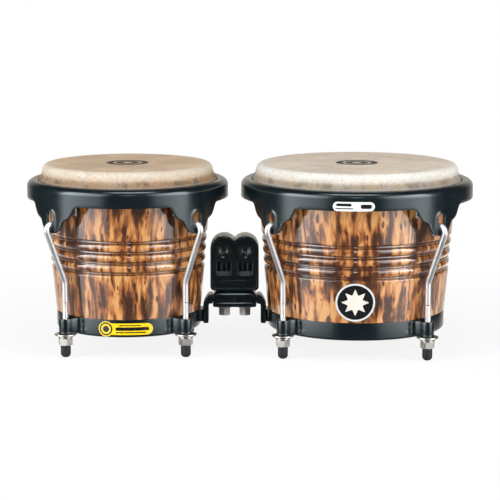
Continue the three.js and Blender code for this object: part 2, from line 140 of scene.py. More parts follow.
def rounded(points, radius, steps=4):
    """A polygon with each corner turned into an arc-like curve. radius is one number or one per corner."""
    count = len(points)
    radii = [radius] * count if np.isscalar(radius) else radius
    result = []
    for i, here in enumerate(points):
        if radii[i] <= 0:
            result.append(tuple(here))
            continue
        here = np.array(here, float)
        before = np.array(points[i - 1], float) - here
        after = np.array(points[(i + 1) % count], float) - here
        reach_before = min(radii[i], np.linalg.norm(before) * 0.49)
        reach_after = min(radii[i], np.linalg.norm(after) * 0.49)
        a = here + before / np.linalg.norm(before) * reach_before
        b = here + after / np.linalg.norm(after) * reach_after
        for t in np.linspace(0, 1, steps + 1):
            point = (1 - t) ** 2 * a + 2 * t * (1 - t) * here + t ** 2 * b
            result.append(tuple(point))
    return result


def bridged(rows):
    """Faces between each ring of vertex numbers and the next. A ring may be one vertex, repeated."""
    faces = []
    for low, high in zip(rows, rows[1:]):
        for j in range(len(low)):
            k = (j + 1) % len(low)
            corners = list(dict.fromkeys((low[j], low[k], high[k], high[j])))
            if len(corners) > 2:
                faces.append(corners)
    return faces


def lathe(profile, segments=192, closed=True):
    """A profile of (radius, height) turned about Z. A radius may be an array, one for each segment."""
    turns = np.linspace(0, TAU, segments, endpoint=False)
    verts, rows = [], []
    for radius, height in profile:
        if np.isscalar(radius) and radius < 1e-6:
            rows.append([len(verts)] * segments)
            verts.append((0.0, 0.0, height))
        else:
            spread = np.broadcast_to(radius, segments)
            rows.append(list(range(len(verts), len(verts) + segments)))
            verts += [(r * math.sin(t), -r * math.cos(t), height) for r, t in zip(spread, turns)]
    return np.array(verts), bridged(rows + rows[:1] if closed else rows)


def sweep(route, radii, sides=20):
    """A closed tube along a route in the plane X = 0, with one radius, or one per side, at each point."""
    route = np.array(route, float)
    ahead = np.gradient(route, axis=0)
    ahead /= np.linalg.norm(ahead, axis=1)[:, None]
    verts = []
    across = np.array((1.0, 0.0, 0.0))
    turns = np.linspace(0, TAU, sides, endpoint=False)
    for place, direction, radius in zip(route, ahead, radii):
        up = np.cross(direction, across)
        for t, r in zip(turns, np.broadcast_to(radius, sides)):
            verts.append(place + r * (math.cos(t) * across + math.sin(t) * up))
    rows = [list(range(start, start + sides)) for start in range(0, len(verts), sides)]
    return np.array(verts), bridged(rows) + [rows[0][::-1], rows[-1]]


def turned(shape, degrees):
    """A shape turned about the Z axis. A shape is a pair: its vertices and its faces."""
    c, s = math.cos(math.radians(degrees)), math.sin(math.radians(degrees))
    x, y, z = np.array(shape[0], float).T
    return np.column_stack((x * c - y * s, x * s + y * c, z)), shape[1]


def moved(shape, x, y=0.0):
    return np.array(shape[0], float) + (x, y, 0.0), shape[1]


def joined(*parts):
    """Several shapes as one."""
    verts, faces, offset = [], [], 0
    for part_verts, part_faces in parts:
        verts.append(np.array(part_verts, float))
        faces += [tuple(i + offset for i in face) for face in part_faces]
        offset += len(part_verts)
    return np.vstack(verts), faces


def triangulated(outer, holes=(), inner_points=()):
    """A flat region filled with triangles: (points, triangles). The first points are the loops, in order."""
    loops = [list(outer)] + [list(hole) for hole in holes]
    points = [Vector(p) for loop in loops for p in loop] + [Vector(p) for p in inner_points]
    edges, start = [], 0
    for loop in loops:
        edges += [(start + i, start + (i + 1) % len(loop)) for i in range(len(loop))]
        start += len(loop)
    flat, _, triangles = geometry.delaunay_2d_cdt(points, edges, [], 0, 1e-6)[:3]
    if len(flat) != len(points):
        raise ValueError("an outline crosses itself")
    flat = np.array([tuple(p) for p in flat])
    triangles = [t for t in triangles if inside(flat[list(t)].mean(axis=0), loops)]
    return flat, triangles


def inside(point, loops):
    """Whether a point is in the first loop and in none of the others."""
    def winds(loop):
        ring = np.array(loop)
        ahead = np.roll(ring, -1, axis=0)
        crosses = (ring[:, 1] > point[1]) != (ahead[:, 1] > point[1])
        slope = (ahead[:, 0] - ring[:, 0]) / np.where(crosses, ahead[:, 1] - ring[:, 1], 1)
        return np.count_nonzero(crosses & (point[0] < ring[:, 0] + (point[1] - ring[:, 1]) * slope)) % 2 == 1
    return winds(loops[0]) and not any(winds(loop) for loop in loops[1:])


def inset(loop, distance):
    """A closed loop moved towards its left side by a distance."""
    ring = np.array(loop, float)
    ahead = np.roll(ring, -1, axis=0) - ring
    back = ring - np.roll(ring, 1, axis=0)
    tangent = ahead / np.linalg.norm(ahead, axis=1)[:, None] + back / np.linalg.norm(back, axis=1)[:, None]
    tangent /= np.linalg.norm(tangent, axis=1)[:, None]
    return ring + distance * np.column_stack((-tangent[:, 1], tangent[:, 0]))


def counter_clockwise(loop):
    ring = np.array(loop, float)
    ahead = np.roll(ring, -1, axis=0)
    area = np.sum(ring[:, 0] * ahead[:, 1] - ahead[:, 0] * ring[:, 1])
    return ring if area > 0 else ring[::-1]


def loft(outer, levels, holes=(), inner_points=()):
    """A closed body with one outline in (X, Y) at every level. levels are (inset, height), in order."""
    loops = [counter_clockwise(outer)] + [counter_clockwise(hole)[::-1] for hole in holes]
    per_level = sum(len(loop) for loop in loops)
    extra = np.array(inner_points, float).reshape(-1, 2)
    verts, faces = [], []
    for amount, level in levels:
        ring = np.vstack([inset(loop, amount) for loop in loops])
        verts.append(np.column_stack((ring, np.full(len(ring), level))))
    start = 0
    for loop in loops:
        for step in range(len(levels) - 1):
            top, below = step * per_level, (step + 1) * per_level
            for i in range(len(loop)):
                a, b = start + i, start + (i + 1) % len(loop)
                faces.append((below + a, below + b, top + b, top + a))
        start += len(loop)
    base = len(levels) * per_level
    for end, (amount, level) in ((0, levels[0]), (len(levels) - 1, levels[-1])):
        triangles = triangulated(inset(loops[0], amount), [inset(h, amount) for h in loops[1:]], extra)[1]
        for triangle in triangles:
            corners = [i + end * per_level if i < per_level else base + i - per_level for i in triangle]
            faces.append(corners if end == 0 else corners[::-1])
        verts.append(np.column_stack((extra, np.full(len(extra), level))))
        base += len(extra)
    return np.vstack(verts), faces


def round_edge(radius, steps):
    """(inset, drop) pairs of a rounded edge, from the flat face out to the side."""
    turns = np.radians(np.linspace(0, 90, steps))
    return [(radius * (1 - math.sin(t)), radius * (1 - math.cos(t))) for t in turns]


def slab(outer, low, high, holes=(), edge=0.6, inner_points=()):
    """A plate with the given outline in (X, Y), from low to high, with all its edges eased."""
    eased = [(edge, 0.0), (edge * 0.3, edge * 0.3), (0.0, edge)]
    levels = [(amount, high - drop) for amount, drop in eased]
    levels += [(amount, low + drop) for amount, drop in reversed(eased)]
    return loft(outer, levels, holes, inner_points)


def circle(radius, x=0.0, y=0.0, steps=32):
    turns = np.linspace(0, TAU, steps, endpoint=False)
    return [(x + radius * math.cos(t), y + radius * math.sin(t)) for t in turns]


def upright(shape):
    """A shape drawn in (X, Z) and extruded along a third axis, stood up so that this axis runs along -Y."""
    verts = np.array(shape[0], float)
    return np.column_stack((verts[:, 0], -verts[:, 2], verts[:, 1])), shape[1]


def make_mesh(name, verts, faces, weld=0.0):
    mesh = bpy.data.meshes.new(name)
    mesh.from_pydata((np.array(verts, float) * MM).tolist(), [], [tuple(int(i) for i in f) for f in faces])
    work = bmesh.new()
    work.from_mesh(mesh)
    if weld:
        bmesh.ops.remove_doubles(work, verts=work.verts, dist=weld * MM)
    bmesh.ops.recalc_face_normals(work, faces=work.faces)
    work.to_mesh(mesh)
    work.free()
    return mesh


def placed(name, data):
    """A new object in the scene."""
    made = bpy.data.objects.new(name, data)
    bpy.context.scene.collection.objects.link(made)
    return made


def piece(name, shape, material, body, slot, replaces=(), sharp=35, weld=0.0):
    """A visible piece of the object, riding on a CAD body."""
    mesh = make_mesh(name, *shape, weld=weld)
    mesh.shade_smooth()
    mesh.set_sharp_from_angle(angle=math.radians(sharp))
    mesh.materials.append(material)
    made = placed(name, mesh)
    if body:
        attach(made, body)
    if replaces:
        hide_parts(*replaces)
    return made


def merged(name, shapes, operation="UNION"):
    """Closed shapes joined or cut into one by an exact boolean."""
    objects = [placed(f"{name}_{i}", make_mesh(name, *shape)) for i, shape in enumerate(shapes)]
    base = objects[0]
    for other in objects[1:]:
        modifier = base.modifiers.new("join", "BOOLEAN")
        modifier.operation = operation
        modifier.solver = "EXACT"
        modifier.object = other
    bpy.context.view_layer.update()
    result = base.evaluated_get(bpy.context.evaluated_depsgraph_get()).to_mesh()
    verts = np.array([v.co for v in result.vertices]) / MM
    faces = [tuple(p.vertices) for p in result.polygons]
    for made in objects:
        bpy.data.objects.remove(made)
    return verts, faces


# ---------------- the wooden shell

def side_radius(drum, z):
    """Outside radius of the wooden side at a height, without its grooves."""
    foot = drum.ring + 0.3
    t = (z - RING_HIGH) / (drum.head_top - HEAD_ROLL - RING_HIGH)
    return foot + (drum.shell_top_radius - foot) * t + 4 * SHELL_BULGE * t * (1 - t)


def groove_depth(drum, z):
    """How deep the turned beads and grooves are below the plain side at a height."""
    half, shoulder, ridge, ridge_half = 1.35, 1.7, 0.5, 0.75
    grooves = LOWEST_GROOVE[drum.name] + GROOVE_PITCH * np.arange(GROOVES)
    away = z - grooves
    nearest = int(np.argmin(np.abs(away)))
    distance = abs(away[nearest])
    outermost = (nearest == 0 and away[nearest] < 0) or (nearest == GROOVES - 1 and away[nearest] > 0)
    width = shoulder if outermost else GROOVE_PITCH / 2 - half
    if distance < ridge_half:
        return GROOVE_DEPTH - ridge * max(0.0, math.cos(distance / ridge_half * math.pi / 2))
    if distance < half:
        return GROOVE_DEPTH
    if distance > half + width:
        return 0.0
    u = 1 - (distance - half) / width
    return GROOVE_DEPTH * u * u


def shell_shape(drum):
    """The wooden body: rebated foot, beaded side, rounded bearing edge and plain inside."""
    rebate = drum.ring - 2.7
    shoulder = RING_HIGH + 0.3
    roll = HEAD_ROLL - SKIN
    top = drum.shell_high
    edge = side_radius(drum, top - roll) - roll
    margin = 3.4
    beads_low = LOWEST_GROOVE[drum.name] - margin
    beads_high = LOWEST_GROOVE[drum.name] + GROOVE_PITCH * (GROOVES - 1) + margin
    profile = [(rebate - 0.6, drum.shell_low), (rebate, drum.shell_low + 0.6), (rebate, shoulder - 0.2)]
    profile += [(side_radius(drum, z), z) for z in np.linspace(shoulder, beads_low - 0.5, 14)]
    for z in np.arange(beads_low, beads_high, 0.32):
        profile.append((side_radius(drum, z) - groove_depth(drum, z), z))
    profile += [(side_radius(drum, z), z) for z in np.linspace(beads_high + 0.5, top - roll, 16)]
    profile += arc((edge, top - roll), roll, 8, 90, 8)
    inner_top = edge - SHELL_WALL + roll
    profile += [(edge - 2, top), (inner_top + 0.6, top - 3.4)]
    profile += line((inner_top, top - 5), (rebate - SHELL_WALL, 27), 12)
    profile.append((rebate - SHELL_WALL + 1.2, drum.shell_low))
    return lathe(profile, 224)


# ---------------- the head and its hoop

def head_shape(drum):
    """The stretched hide: flat top, rolled edge, slightly uneven skirt and the tuck round its hoop."""
    gap = 0.35
    skirt = drum.rim - RIM_LIP - gap
    radius = drum.shell_top_radius + 0.3 + SKIN
    tuck_out = drum.hoop + gap
    top, low = drum.head_top, drum.hoop_low - gap
    outside = [(0.0, top)] + line((6, top), (radius - HEAD_ROLL - 3, top), 14)
    outside += arc((radius - HEAD_ROLL, top - HEAD_ROLL), HEAD_ROLL, 90, 12, 12)
    outside += line((radius + 0.5, 179.5), (skirt - 0.9, 173.6), 6)
    outside += [(skirt - 0.25 - 0.32 * rise, 171.6 + rise) for rise in (1.6, 1.2, 0.8, 0.4, 0.0)]
    outside += [(skirt - 0.1, 170.6), (skirt, 169.5), (skirt, 163.5), (skirt, low + 0.5), (skirt + 0.5, low)]
    outside += [(tuck_out - 0.5, low), (tuck_out, low + 0.5), (tuck_out, drum.hoop_high - 1)]
    outside = np.array(outside)
    ahead = np.gradient(outside, axis=0)
    ahead /= np.linalg.norm(ahead, axis=1)[:, None]
    within = outside + SKIN * np.column_stack((ahead[:, 1], -ahead[:, 0]))
    within[0] = (0.0, top - SKIN)
    profile = [tuple(p) for p in outside] + [tuple(p) for p in within[::-1]]
    verts, faces = lathe(profile, 224, closed=False)
    seed = Vector((drum.x, 7.0, 3.0))
    for i, (x, y, z) in enumerate(verts):
        share = math.exp(-((z - 175) / 4.5) ** 2) if math.hypot(x, y) > 60 else 0.0
        if share > 0.01:
            broad = noise.noise(Vector((x, y, z * 0.6)) * 0.05 + seed)
            fine = noise.noise(Vector((x, y, z)) * 0.16 + seed)
            pull = broad + 0.5 * fine
            verts[i][:2] *= 1 - 0.0045 * share * (0.6 + pull)
    return verts, faces


def hoop_shape(drum):
    section = rectangle(drum.hoop - 6, drum.hoop_low, drum.hoop, drum.hoop_high)
    return lathe(rounded(section, 1.2, 3))


# ---------------- the rim

PLATE_TOP = 158.0
EDGE_STEPS = ((0.55, 0.0), (0.18, 0.16), (0.0, 0.55))


def lower_edge(half_span):
    """Lower edge of a quarter of the rim, from left to right, in (distance round the wall, height)."""
    def bezier(points, steps):
        a, b, c, d = (np.array(p, float) for p in points)
        return [tuple((1 - t) ** 3 * a + 3 * t * (1 - t) ** 2 * b + 3 * t * t * (1 - t) * c + t ** 3 * d)
                for t in np.linspace(0, 1, steps, endpoint=False)]
    foot = 125.9
    right = bezier(((0, foot), (6.5, foot), (10.4, 128.2), (13.3, 132.6)), 14)
    right += bezier(((13.3, 132.6), (15.2, 135.6), (15.2, 138.9), (19.2, 140.2)), 10)
    right += bezier(((19.2, 140.2), (24.6, 141.9), (26.6, 146.5), (29.0, 150.6)), 12)
    right += bezier(((29.0, 150.6), (30.4, 152.9), (31.8, RIM_EDGE), (34.6, RIM_EDGE)), 8)
    right += [(s, RIM_EDGE) for s in np.linspace(34.6, half_span, 20)]
    return [(-s, z) for s, z in right[:0:-1]] + right


def slot_loop(grow=0.0):
    """The outline of a lug's slot in (distance round the wall, height), or one outside it by grow."""
    r, middle = SLOT_HALF_WIDTH + grow, (SLOT_LOW + SLOT_HIGH) / 2
    low = arc((0, SLOT_LOW + SLOT_HALF_WIDTH), r, 180, 360, 16)
    high = arc((0, SLOT_HIGH - SLOT_HALF_WIDTH), r, 0, 180, 16)
    return low + [(r, middle)] + high + [(-r, middle)]


def rim_panel(wall):
    """A quarter of the rim's wall below PLATE_TOP: a sheet with eased edges and a slot.

    Each vertex is (distance round the wall, height, depth into the wall).
    """
    half_span = math.pi / 4 * wall
    columns = 36
    bottom = lower_edge(half_span)
    top = [(s, PLATE_TOP) for s in np.linspace(half_span, -half_span, columns + 1)]
    outer = np.array(bottom + top)
    slot = np.array(slot_loop())[::-1]
    fixed = len(bottom)

    def eased(amount):
        moved_loop = inset(outer, amount)
        moved_loop[fixed:] = outer[fixed:]
        moved_loop[0] = (-half_span, RIM_EDGE + amount)
        moved_loop[fixed - 1] = (half_span, RIM_EDGE + amount)
        return moved_loop

    grid = [(s, z) for s in np.arange(-32, 33, 2.0) for z in np.arange(127.5, 157, 2.0)]
    rings = [p for grow in (1.2, 1.9, 2.6, 3.3) for p in slot_loop(grow)]
    boundary = eased(EDGE_STEPS[0][0])
    slot_start = inset(slot, EDGE_STEPS[0][0])
    clear = [p for p in grid if distance_to(p, boundary) > 1.0 and distance_to(p, slot) > 4.2
             and inside(p, [boundary, slot])]
    flat, triangles = triangulated(boundary, [slot_start], rings + clear)

    per_level = len(outer) + len(slot)
    levels = list(EDGE_STEPS) + [(a, PLATE_WALL - d) for a, d in reversed(EDGE_STEPS)]
    verts, faces = [], []
    for amount, depth in levels:
        ring = np.vstack((eased(amount), inset(slot, amount)))
        verts += [(s, z, depth) for s, z in ring]
    for step in range(len(levels) - 1):
        a, b = step * per_level, (step + 1) * per_level
        for i in range(fixed - 1):
            faces.append((a + i, a + i + 1, b + i + 1, b + i))
        for i in range(len(slot)):
            j, k = len(outer) + i, len(outer) + (i + 1) % len(slot)
            faces.append((a + j, a + k, b + k, b + j))
    back = (len(levels) - 1) * per_level
    base = len(levels) * per_level
    extra = flat[per_level:]
    verts += [(s, z, 0.0) for s, z in extra] + [(s, z, PLATE_WALL) for s, z in extra]
    front_extra, back_extra = base - per_level, base + len(extra) - per_level
    for triangle in triangles:
        faces.append([i if i < per_level else i + front_extra for i in triangle])
        faces.append([i + back if i < per_level else i + back_extra for i in triangle][::-1])
    return np.array(verts), faces


def distance_to(point, loop):
    ring = np.array(loop)
    ahead = np.roll(ring, -1, axis=0) - ring
    along = np.clip(np.sum((point - ring) * ahead, axis=1) / np.sum(ahead ** 2, axis=1), 0, 1)
    return np.min(np.linalg.norm(ring + along[:, None] * ahead - point, axis=1))


def rim_shape(drum):
    """The counterhoop: four slotted quarters with a raised lip round each slot, under a rolled crest."""
    wall, crest = drum.rim - LABEL_PROUD, drum.crest
    panel_verts, panel_faces = rim_panel(wall)
    slot = slot_loop()
    raised = np.zeros(len(panel_verts))
    for i, (s, z, _) in enumerate(panel_verts):
        if abs(s) < 9 and 126 < z < 153:
            raised[i] = 0.75 * math.exp(-((distance_to((s, z), slot) - 0.9) / 1.15) ** 2)
    parts = []
    for quarter in LUG_PLACES.values():
        turns = np.radians(quarter + drum.twist) + panel_verts[:, 0] / wall
        radius = wall - panel_verts[:, 2] + raised
        around = (radius * np.sin(turns), -radius * np.cos(turns), panel_verts[:, 1])
        parts.append((np.column_stack(around), panel_faces))
    inner = wall - RIM_LIP
    outside = [(wall, PLATE_TOP), (wall, 162.0), (wall, 164.5)]
    for t in np.radians(np.linspace(0, 90, 15)):
        rise = (crest - RIM_SHOULDER) * math.sin(t)
        outside.append((wall - 7.3 * (1 - math.cos(t)), RIM_SHOULDER + rise))
    outside += [(wall - 8.4, crest)] + arc((inner + 2.1, crest - 2.1), 2.1, 90, 180, 6)
    outside += [(inner, crest - 5), (inner, 164.0)] + arc((inner + 1.3, 164.5), 1.3, 180, 360, 6)
    outside += [(inner + PLATE_WALL, crest - 4.6)] + arc((inner + 4.0, crest - 4.2), 1.4, 180, 90, 4)
    outside += [(wall - 6.6, crest - 2.9), (wall - 4.6, 168.0), (wall - 3.2, 166.4)]
    outside += [(wall - PLATE_WALL, 164.4), (wall - PLATE_WALL, PLATE_TOP)]
    parts.append(turned(lathe(outside, 144, closed=False), 45 + drum.twist))
    return joined(*parts)


# ---------------- the bottom ring

EAR_LOW, EAR_HIGH = 24.2, 39.0
EAR_OUTER, EAR_BORE, EAR_HALF_WIDTH = 6.5, 4.2, 13.0
BLOCK_LOW, BLOCK_HIGH = node_box("centre_block")
BLOCK_X = (BLOCK_LOW[0] + BLOCK_HIGH[0]) / 2
BOLT_LOW, BOLT_HIGH = node_box("clamp_bolt_right")
BOLT_OFFSET = (BOLT_LOW[0] + BOLT_HIGH[0]) / 2 - BLOCK_X
STRAP_LOW, STRAP_HIGH, STRAP_DEPTH = 46.5, 51.5, 24.0
PAD_LOW, PAD_HIGH, PAD_DEPTH = 26.0, 38.5, 20.0
BOLT_HOLE_RADIUS = 4.5


def ear_shape(drum, place):
    """A strap bent round the lug and welded back to the ring, drawn with the lug towards -Y."""
    root = math.sqrt(drum.ring ** 2 - EAR_HALF_WIDTH ** 2) - 1
    nose = arc((0, -drum.lug), EAR_OUTER, 180, 360, 18)
    flank = [(EAR_OUTER, -drum.lug + 2.0), (6.9, -root - 5.0), (8.2, -root - 2.6), (10.4, -root - 1.3)]
    flank.append((EAR_HALF_WIDTH, -root))
    outer = [(-x, y) for x, y in flank[::-1]] + nose + flank
    back = -drum.ring - 0.6
    eye = [(EAR_BORE, back), (-EAR_BORE, back), (-EAR_BORE, -drum.lug + 0.5)]
    eye += arc((0, -drum.lug), EAR_BORE, 180, 360, 14) + [(EAR_BORE, -drum.lug + 0.5)]
    return turned(slab(outer, EAR_LOW, EAR_HIGH, [eye], edge=0.5), drum.azimuth(place))


def weld_bead(drum, place, side):
    """A short uneven run of weld between an ear's flank and the ring."""
    rng = random.Random(f"{drum.name}{place}{side}")
    start = math.degrees(math.asin((EAR_HALF_WIDTH - 0.4) / drum.ring))
    heights = np.linspace(EAR_LOW + 1.2, EAR_HIGH - 1.2, 26)
    route = [(0.0, -drum.ring - 0.1, z) for z in heights]
    radii = [1.15 + 0.3 * math.sin(i * 1.9) + rng.uniform(-0.12, 0.12) for i in range(len(heights))]
    radii[0] = radii[-1] = 0.4
    return turned(sweep(route, radii, 10), side * start + LUG_PLACES[place] + drum.twist)


def towards_block(shape, drum):
    """A shape drawn towards +X, turned to run from a drum's axis towards the centre block."""
    return turned(shape, 0 if drum.x < BLOCK_X else 180)


def strap_shape(drum):
    """The cranked strap from beside the ring to the clamp, drawn in (distance from the drum's axis, Z)."""
    span = abs(drum.x - BLOCK_X)
    leg = [(31.8, 24.7), (26.4, 24.7), (26.4, 44.8), (22.3, 44.8)]
    tongue = [(22.3, STRAP_LOW), (0.1, STRAP_LOW), (0.1, STRAP_HIGH), (22.3, STRAP_HIGH)]
    crank = [(22.3, 53.2), (26.6, 53.2), (28.8, 50.3), (32.0, 44.4), (31.8, 39.0)]
    radii = [1.2, 1.6, 2.6, 0.7, 0.5, 0.5, 0.5, 0.5, 1.0, 2.2, 3.0, 3.0, 2.0]
    outline = rounded([(span - u, z) for u, z in leg + tongue + crank], radii, 5)
    return towards_block(upright(slab(outline, -STRAP_DEPTH / 2, STRAP_DEPTH / 2, edge=0.3)), drum)


def pad_shape(drum):
    """The weld pad between the strap's leg and the ring."""
    near, far = drum.ring - 1.9, abs(drum.x - BLOCK_X) - 31.3
    half = PAD_DEPTH / 2
    outline = rounded([(near, -half), (far, -half + 1.2), (far, half - 1.2), (near, half)], 0.9, 4)
    return towards_block(slab(outline, PAD_LOW, PAD_HIGH, edge=0.3), drum)


def bottom_ring_shape(drum):
    """The ring with its four ears, the welds beside them, and the strap to the clamp."""
    sheet, flange = 2.3, 4.7
    outer, inner, low = drum.ring, drum.ring - sheet, drum.ring_low
    corners = [(inner, RING_HIGH), (inner, low + sheet), (inner - flange, low + sheet), (inner - flange, low)]
    corners += [(outer, low), (outer, RING_HIGH)]
    band = lathe(rounded(corners, [0.7, 1.2, 0.5, 0.5, 2.6, 0.7], 4), 160)
    ears = [ear_shape(drum, place) for place in LUG_PLACES]
    bolt = abs(drum.x - BLOCK_X) - BOLT_OFFSET
    hole = loft(circle(BOLT_HOLE_RADIUS), [(0, STRAP_HIGH + 2), (0, STRAP_LOW - 2)])
    hole = moved(hole, bolt if drum.x < BLOCK_X else -bolt)
    arm = merged("arm", [strap_shape(drum), hole], "DIFFERENCE")
    beads = [weld_bead(drum, place, side) for place in LUG_PLACES for side in (-1, 1)]
    return merged("ring", [band, *ears, arm, pad_shape(drum), *beads])


# ---------------- lugs, washers, nuts and caps

THREAD_TOP = 55.0
THREAD_DENSE_FROM = 38.0


def lug_shape(drum, place):
    """A bent rod: threaded foot, straight shank, and a hook through the rim's slot."""
    lean = math.radians(23)
    hook, bend = 6.3, 15.0
    centre = (drum.rim - PLATE_WALL / 2, drum.lug_high - LUG_RADIUS - hook)
    hook_points = arc(centre, hook, -23, 180, 26)
    start = hook_points[0]
    bend_z = start[1] - (start[0] - drum.lug) / math.tan(lean)
    bend_points = arc((drum.lug + bend, bend_z - bend * math.tan(lean / 2)), bend, 180, 157, 8)
    thread = list(np.arange(THREAD_DENSE_FROM, THREAD_TOP, 0.2))
    heights = [drum.lug_low, drum.lug_low + 0.6, 12.0, 20.0, 30.0] + thread
    collar = [THREAD_TOP, THREAD_TOP + 0.25, THREAD_TOP + 1.1, THREAD_TOP + 1.4]
    plain = [66.0, 70.0]
    route = [(drum.lug, z) for z in heights + collar + plain] + bend_points
    between = [tuple(np.array(bend_points[-1]) * (1 - t) + np.array(start) * t) for t in (0.25, 0.5, 0.75)]
    tail = [(centre[0] - hook, centre[1] - d) for d in (1.4, 2.8, 3.6, 4.0)]
    route += between + hook_points + tail
    sides = 20
    turn = np.linspace(0, 1, sides, endpoint=False)
    radii = []
    for i, (_, z) in enumerate(route):
        if i < len(heights):
            depth = 0.3 * (0.5 + 0.5 * np.cos(TAU * (z - turn))) if z >= THREAD_DENSE_FROM else 0.15
            radii.append(np.full(sides, LUG_RADIUS - 0.05) - depth)
        elif i < len(heights) + len(collar):
            radii.append(LUG_RADIUS - (0.28 if i == len(heights) else 0.0))
        else:
            radii.append(LUG_RADIUS - 0.08)
    radii[0] = LUG_RADIUS - 0.8
    radii[-2], radii[-1] = LUG_RADIUS - 0.35, LUG_RADIUS - 1.1
    return turned(sweep([(0.0, -r, z) for r, z in route], radii, sides), drum.azimuth(place))


def stand_at(shape, drum, place):
    """A part drawn about its own axis, put where a lug stands, in the drum's frame."""
    return moved(turned(shape, drum.azimuth(place)), *polar(drum.lug, drum.azimuth(place)))


def washer_shape():
    return lathe(rounded(rectangle(3.6, 22.2, 11.0, 23.9), [0.2, 0.75, 0.75, 0.2], 4), 48)


def hex_rows(across_flats, low, high, segments, chamfer_high=True):
    """Rows of a hexagon whose corners are turned off at 30 degrees, as on a real nut or bolt head."""
    turns = np.degrees(np.linspace(0, TAU, segments, endpoint=False))
    corner = across_flats / 2 / np.cos(np.radians((turns % 60) - 30))
    rows = []
    steps = (0.0, 0.25, 0.5, 0.8, 1.1, 1.5)
    for z in [low + d for d in steps] + [high - d for d in reversed(steps)]:
        from_end = min(z - low, high - z if chamfer_high else 9.0)
        rows.append((np.minimum(corner, across_flats / 2 * 0.965 + from_end * 1.75), z))
    return rows


def nut_shape():
    """A hexagon with a round collar above it, round the lug's thread."""
    low, neck, high, bore, across_flats = 12.3, 19.4, 21.9, 3.35, 12.7
    segments = 72
    rows = [(bore, low + 0.5), (bore + 0.5, low)] + hex_rows(across_flats, low, neck, segments)
    rows += [(5.9, neck + 0.1), (6.9, neck + 0.3), (7.5, neck + 0.75), (7.5, high - 0.5), (7.1, high - 0.1)]
    rows += [(6.7, high), (bore + 0.4, high), (bore, high - 0.4)]
    return lathe(rows, segments)


def cap_shape(drum, place):
    """A rubber foot on the end of a lug, squeezed a little differently on each."""
    bulge = random.Random(f"cap{drum.name}{place}").uniform(0.0, 0.12)
    profile = [(0.0, 0.0), (0.9, 0.0)] + arc((1.0, 4.0), 4.0, 274, 360, 10)
    profile += [(5.03, 5.2), (5.05 - bulge, 6.6), (4.98, 9.0), (5.0, 11.4), (4.85, 11.85), (4.4, 12.0)]
    profile += [(3.6, 12.0), (3.35, 11.7), (3.35, 3.0), (0.0, 2.9)]
    return lathe(profile, 36, closed=False)


# ---------------- the centre block and its clamp

DOME_RADIUS = 13.9
DOME_Z = BLOCK_HIGH[2] - DOME_RADIUS
BOWL_X = 10.8
NUT_POCKET_ACROSS_FLATS = 13.8
POCKET_LOW, POCKET_HIGH, POCKET_HALF_WIDTH = 74.8, 88.6, 7.0
PANEL_LOW, PANEL_HIGH, PANEL_HALF_WIDTH = 61.6, 73.0, 21.9


def block_outline():
    """The block's front: two round domes side by side over a body with rounded lower corners."""
    low = BLOCK_LOW[2]
    half = (BLOCK_HIGH[0] - BLOCK_LOW[0]) / 2
    dome_x = 10.6
    notch = math.degrees(math.acos(-dome_x / DOME_RADIUS))
    right = arc((dome_x, DOME_Z), DOME_RADIUS, 0, notch - 3, 26)
    left = arc((-dome_x, DOME_Z), DOME_RADIUS, 180 - notch + 3, 180, 26)
    valley = [(0.0, right[-1][1] - 0.35)]
    chin = rounded([(-half, low + 20), (-half, low), (half, low), (half, low + 20)], [0, 4.8, 4.8, 0], 7)
    return chin + right[1:] + valley + left[:-1]


def recess(outline, depth, face, flare=0.5):
    """A cutter for a blind recess in the block's front, with an eased mouth."""
    levels = [(-flare, face + 3), (-flare, face), (-flare * 0.3, face - flare * 0.35), (0, face - flare),
              (0, face - flare - depth * 0.2), (0, face - depth)]
    return loft(outline, levels)


def block_shape():
    """The moulded block. Each face has two bowls, two ribbed pockets and a sunk panel with a raised bar."""
    half_depth = (BLOCK_HIGH[1] - BLOCK_LOW[1]) / 2
    eased = round_edge(1.5, 6)
    levels = [(a, half_depth - d) for a, d in eased] + [(a, d - half_depth) for a, d in reversed(eased)]
    shapes = [upright(loft(block_outline(), levels))]
    for front in (0, 180):
        for side in (-1, 1):
            x = side * BOWL_X
            shapes.append(dish_cutter(x, DOME_Z, half_depth, front))
            brow = arc((x, DOME_Z), 13.6, -64, -116, 10)
            left, right = x - POCKET_HALF_WIDTH, x + POCKET_HALF_WIDTH
            corners = rectangle(left, POCKET_LOW, right, POCKET_HIGH)
            corners[3:3] = brow
            mouth = rounded(corners, [1.6, 1.6, 1.4] + [0] * len(brow) + [1.4], 4)
            verts, faces = upright(recess(mouth, 8.0, half_depth))
            # The pocket's sill rises towards its back.
            low = verts[:, 2] < 77
            verts[low, 2] += np.clip((verts[low, 1] + half_depth - 0.5) * 2.4, 0, 3.6)
            shapes.append(turned((verts, faces), front))
        sunk = rounded(rectangle(-PANEL_HALF_WIDTH, PANEL_LOW, PANEL_HALF_WIDTH, PANEL_HIGH), 1.6, 4)
        shapes.append(turned(upright(recess(sunk, 1.1, half_depth, 0.3)), front))
    hexagon = [polar(NUT_POCKET_ACROSS_FLATS / math.sqrt(3), 60 * i) for i in range(6)]
    for side in (-1, 1):
        for outline, top in ((hexagon, 65.6), (circle(BOLT_HOLE_RADIUS), 80.0)):
            bore = loft(outline, [(0, top), (0, BLOCK_LOW[2] - 2)])
            shapes.append(moved(bore, side * BOLT_OFFSET))
    body = merged("block", shapes, "DIFFERENCE")
    ribs = []
    for front in (0, 180):
        for x in (-13.7, -7.9, 7.9, 13.7):
            rib = loft(circle(2.3, 0, -half_depth + 7.2, 28), [(0, 90.0), (0, 73.0)])
            ribs.append(turned(moved(rib, x), front))
        bar = slab(pill(27, 4.4, 67.2, 0, 8), half_depth - 1.6, half_depth - 0.55, edge=0.25)
        ribs.append(turned(upright(bar), front))
    return merged("block", [body, *ribs])


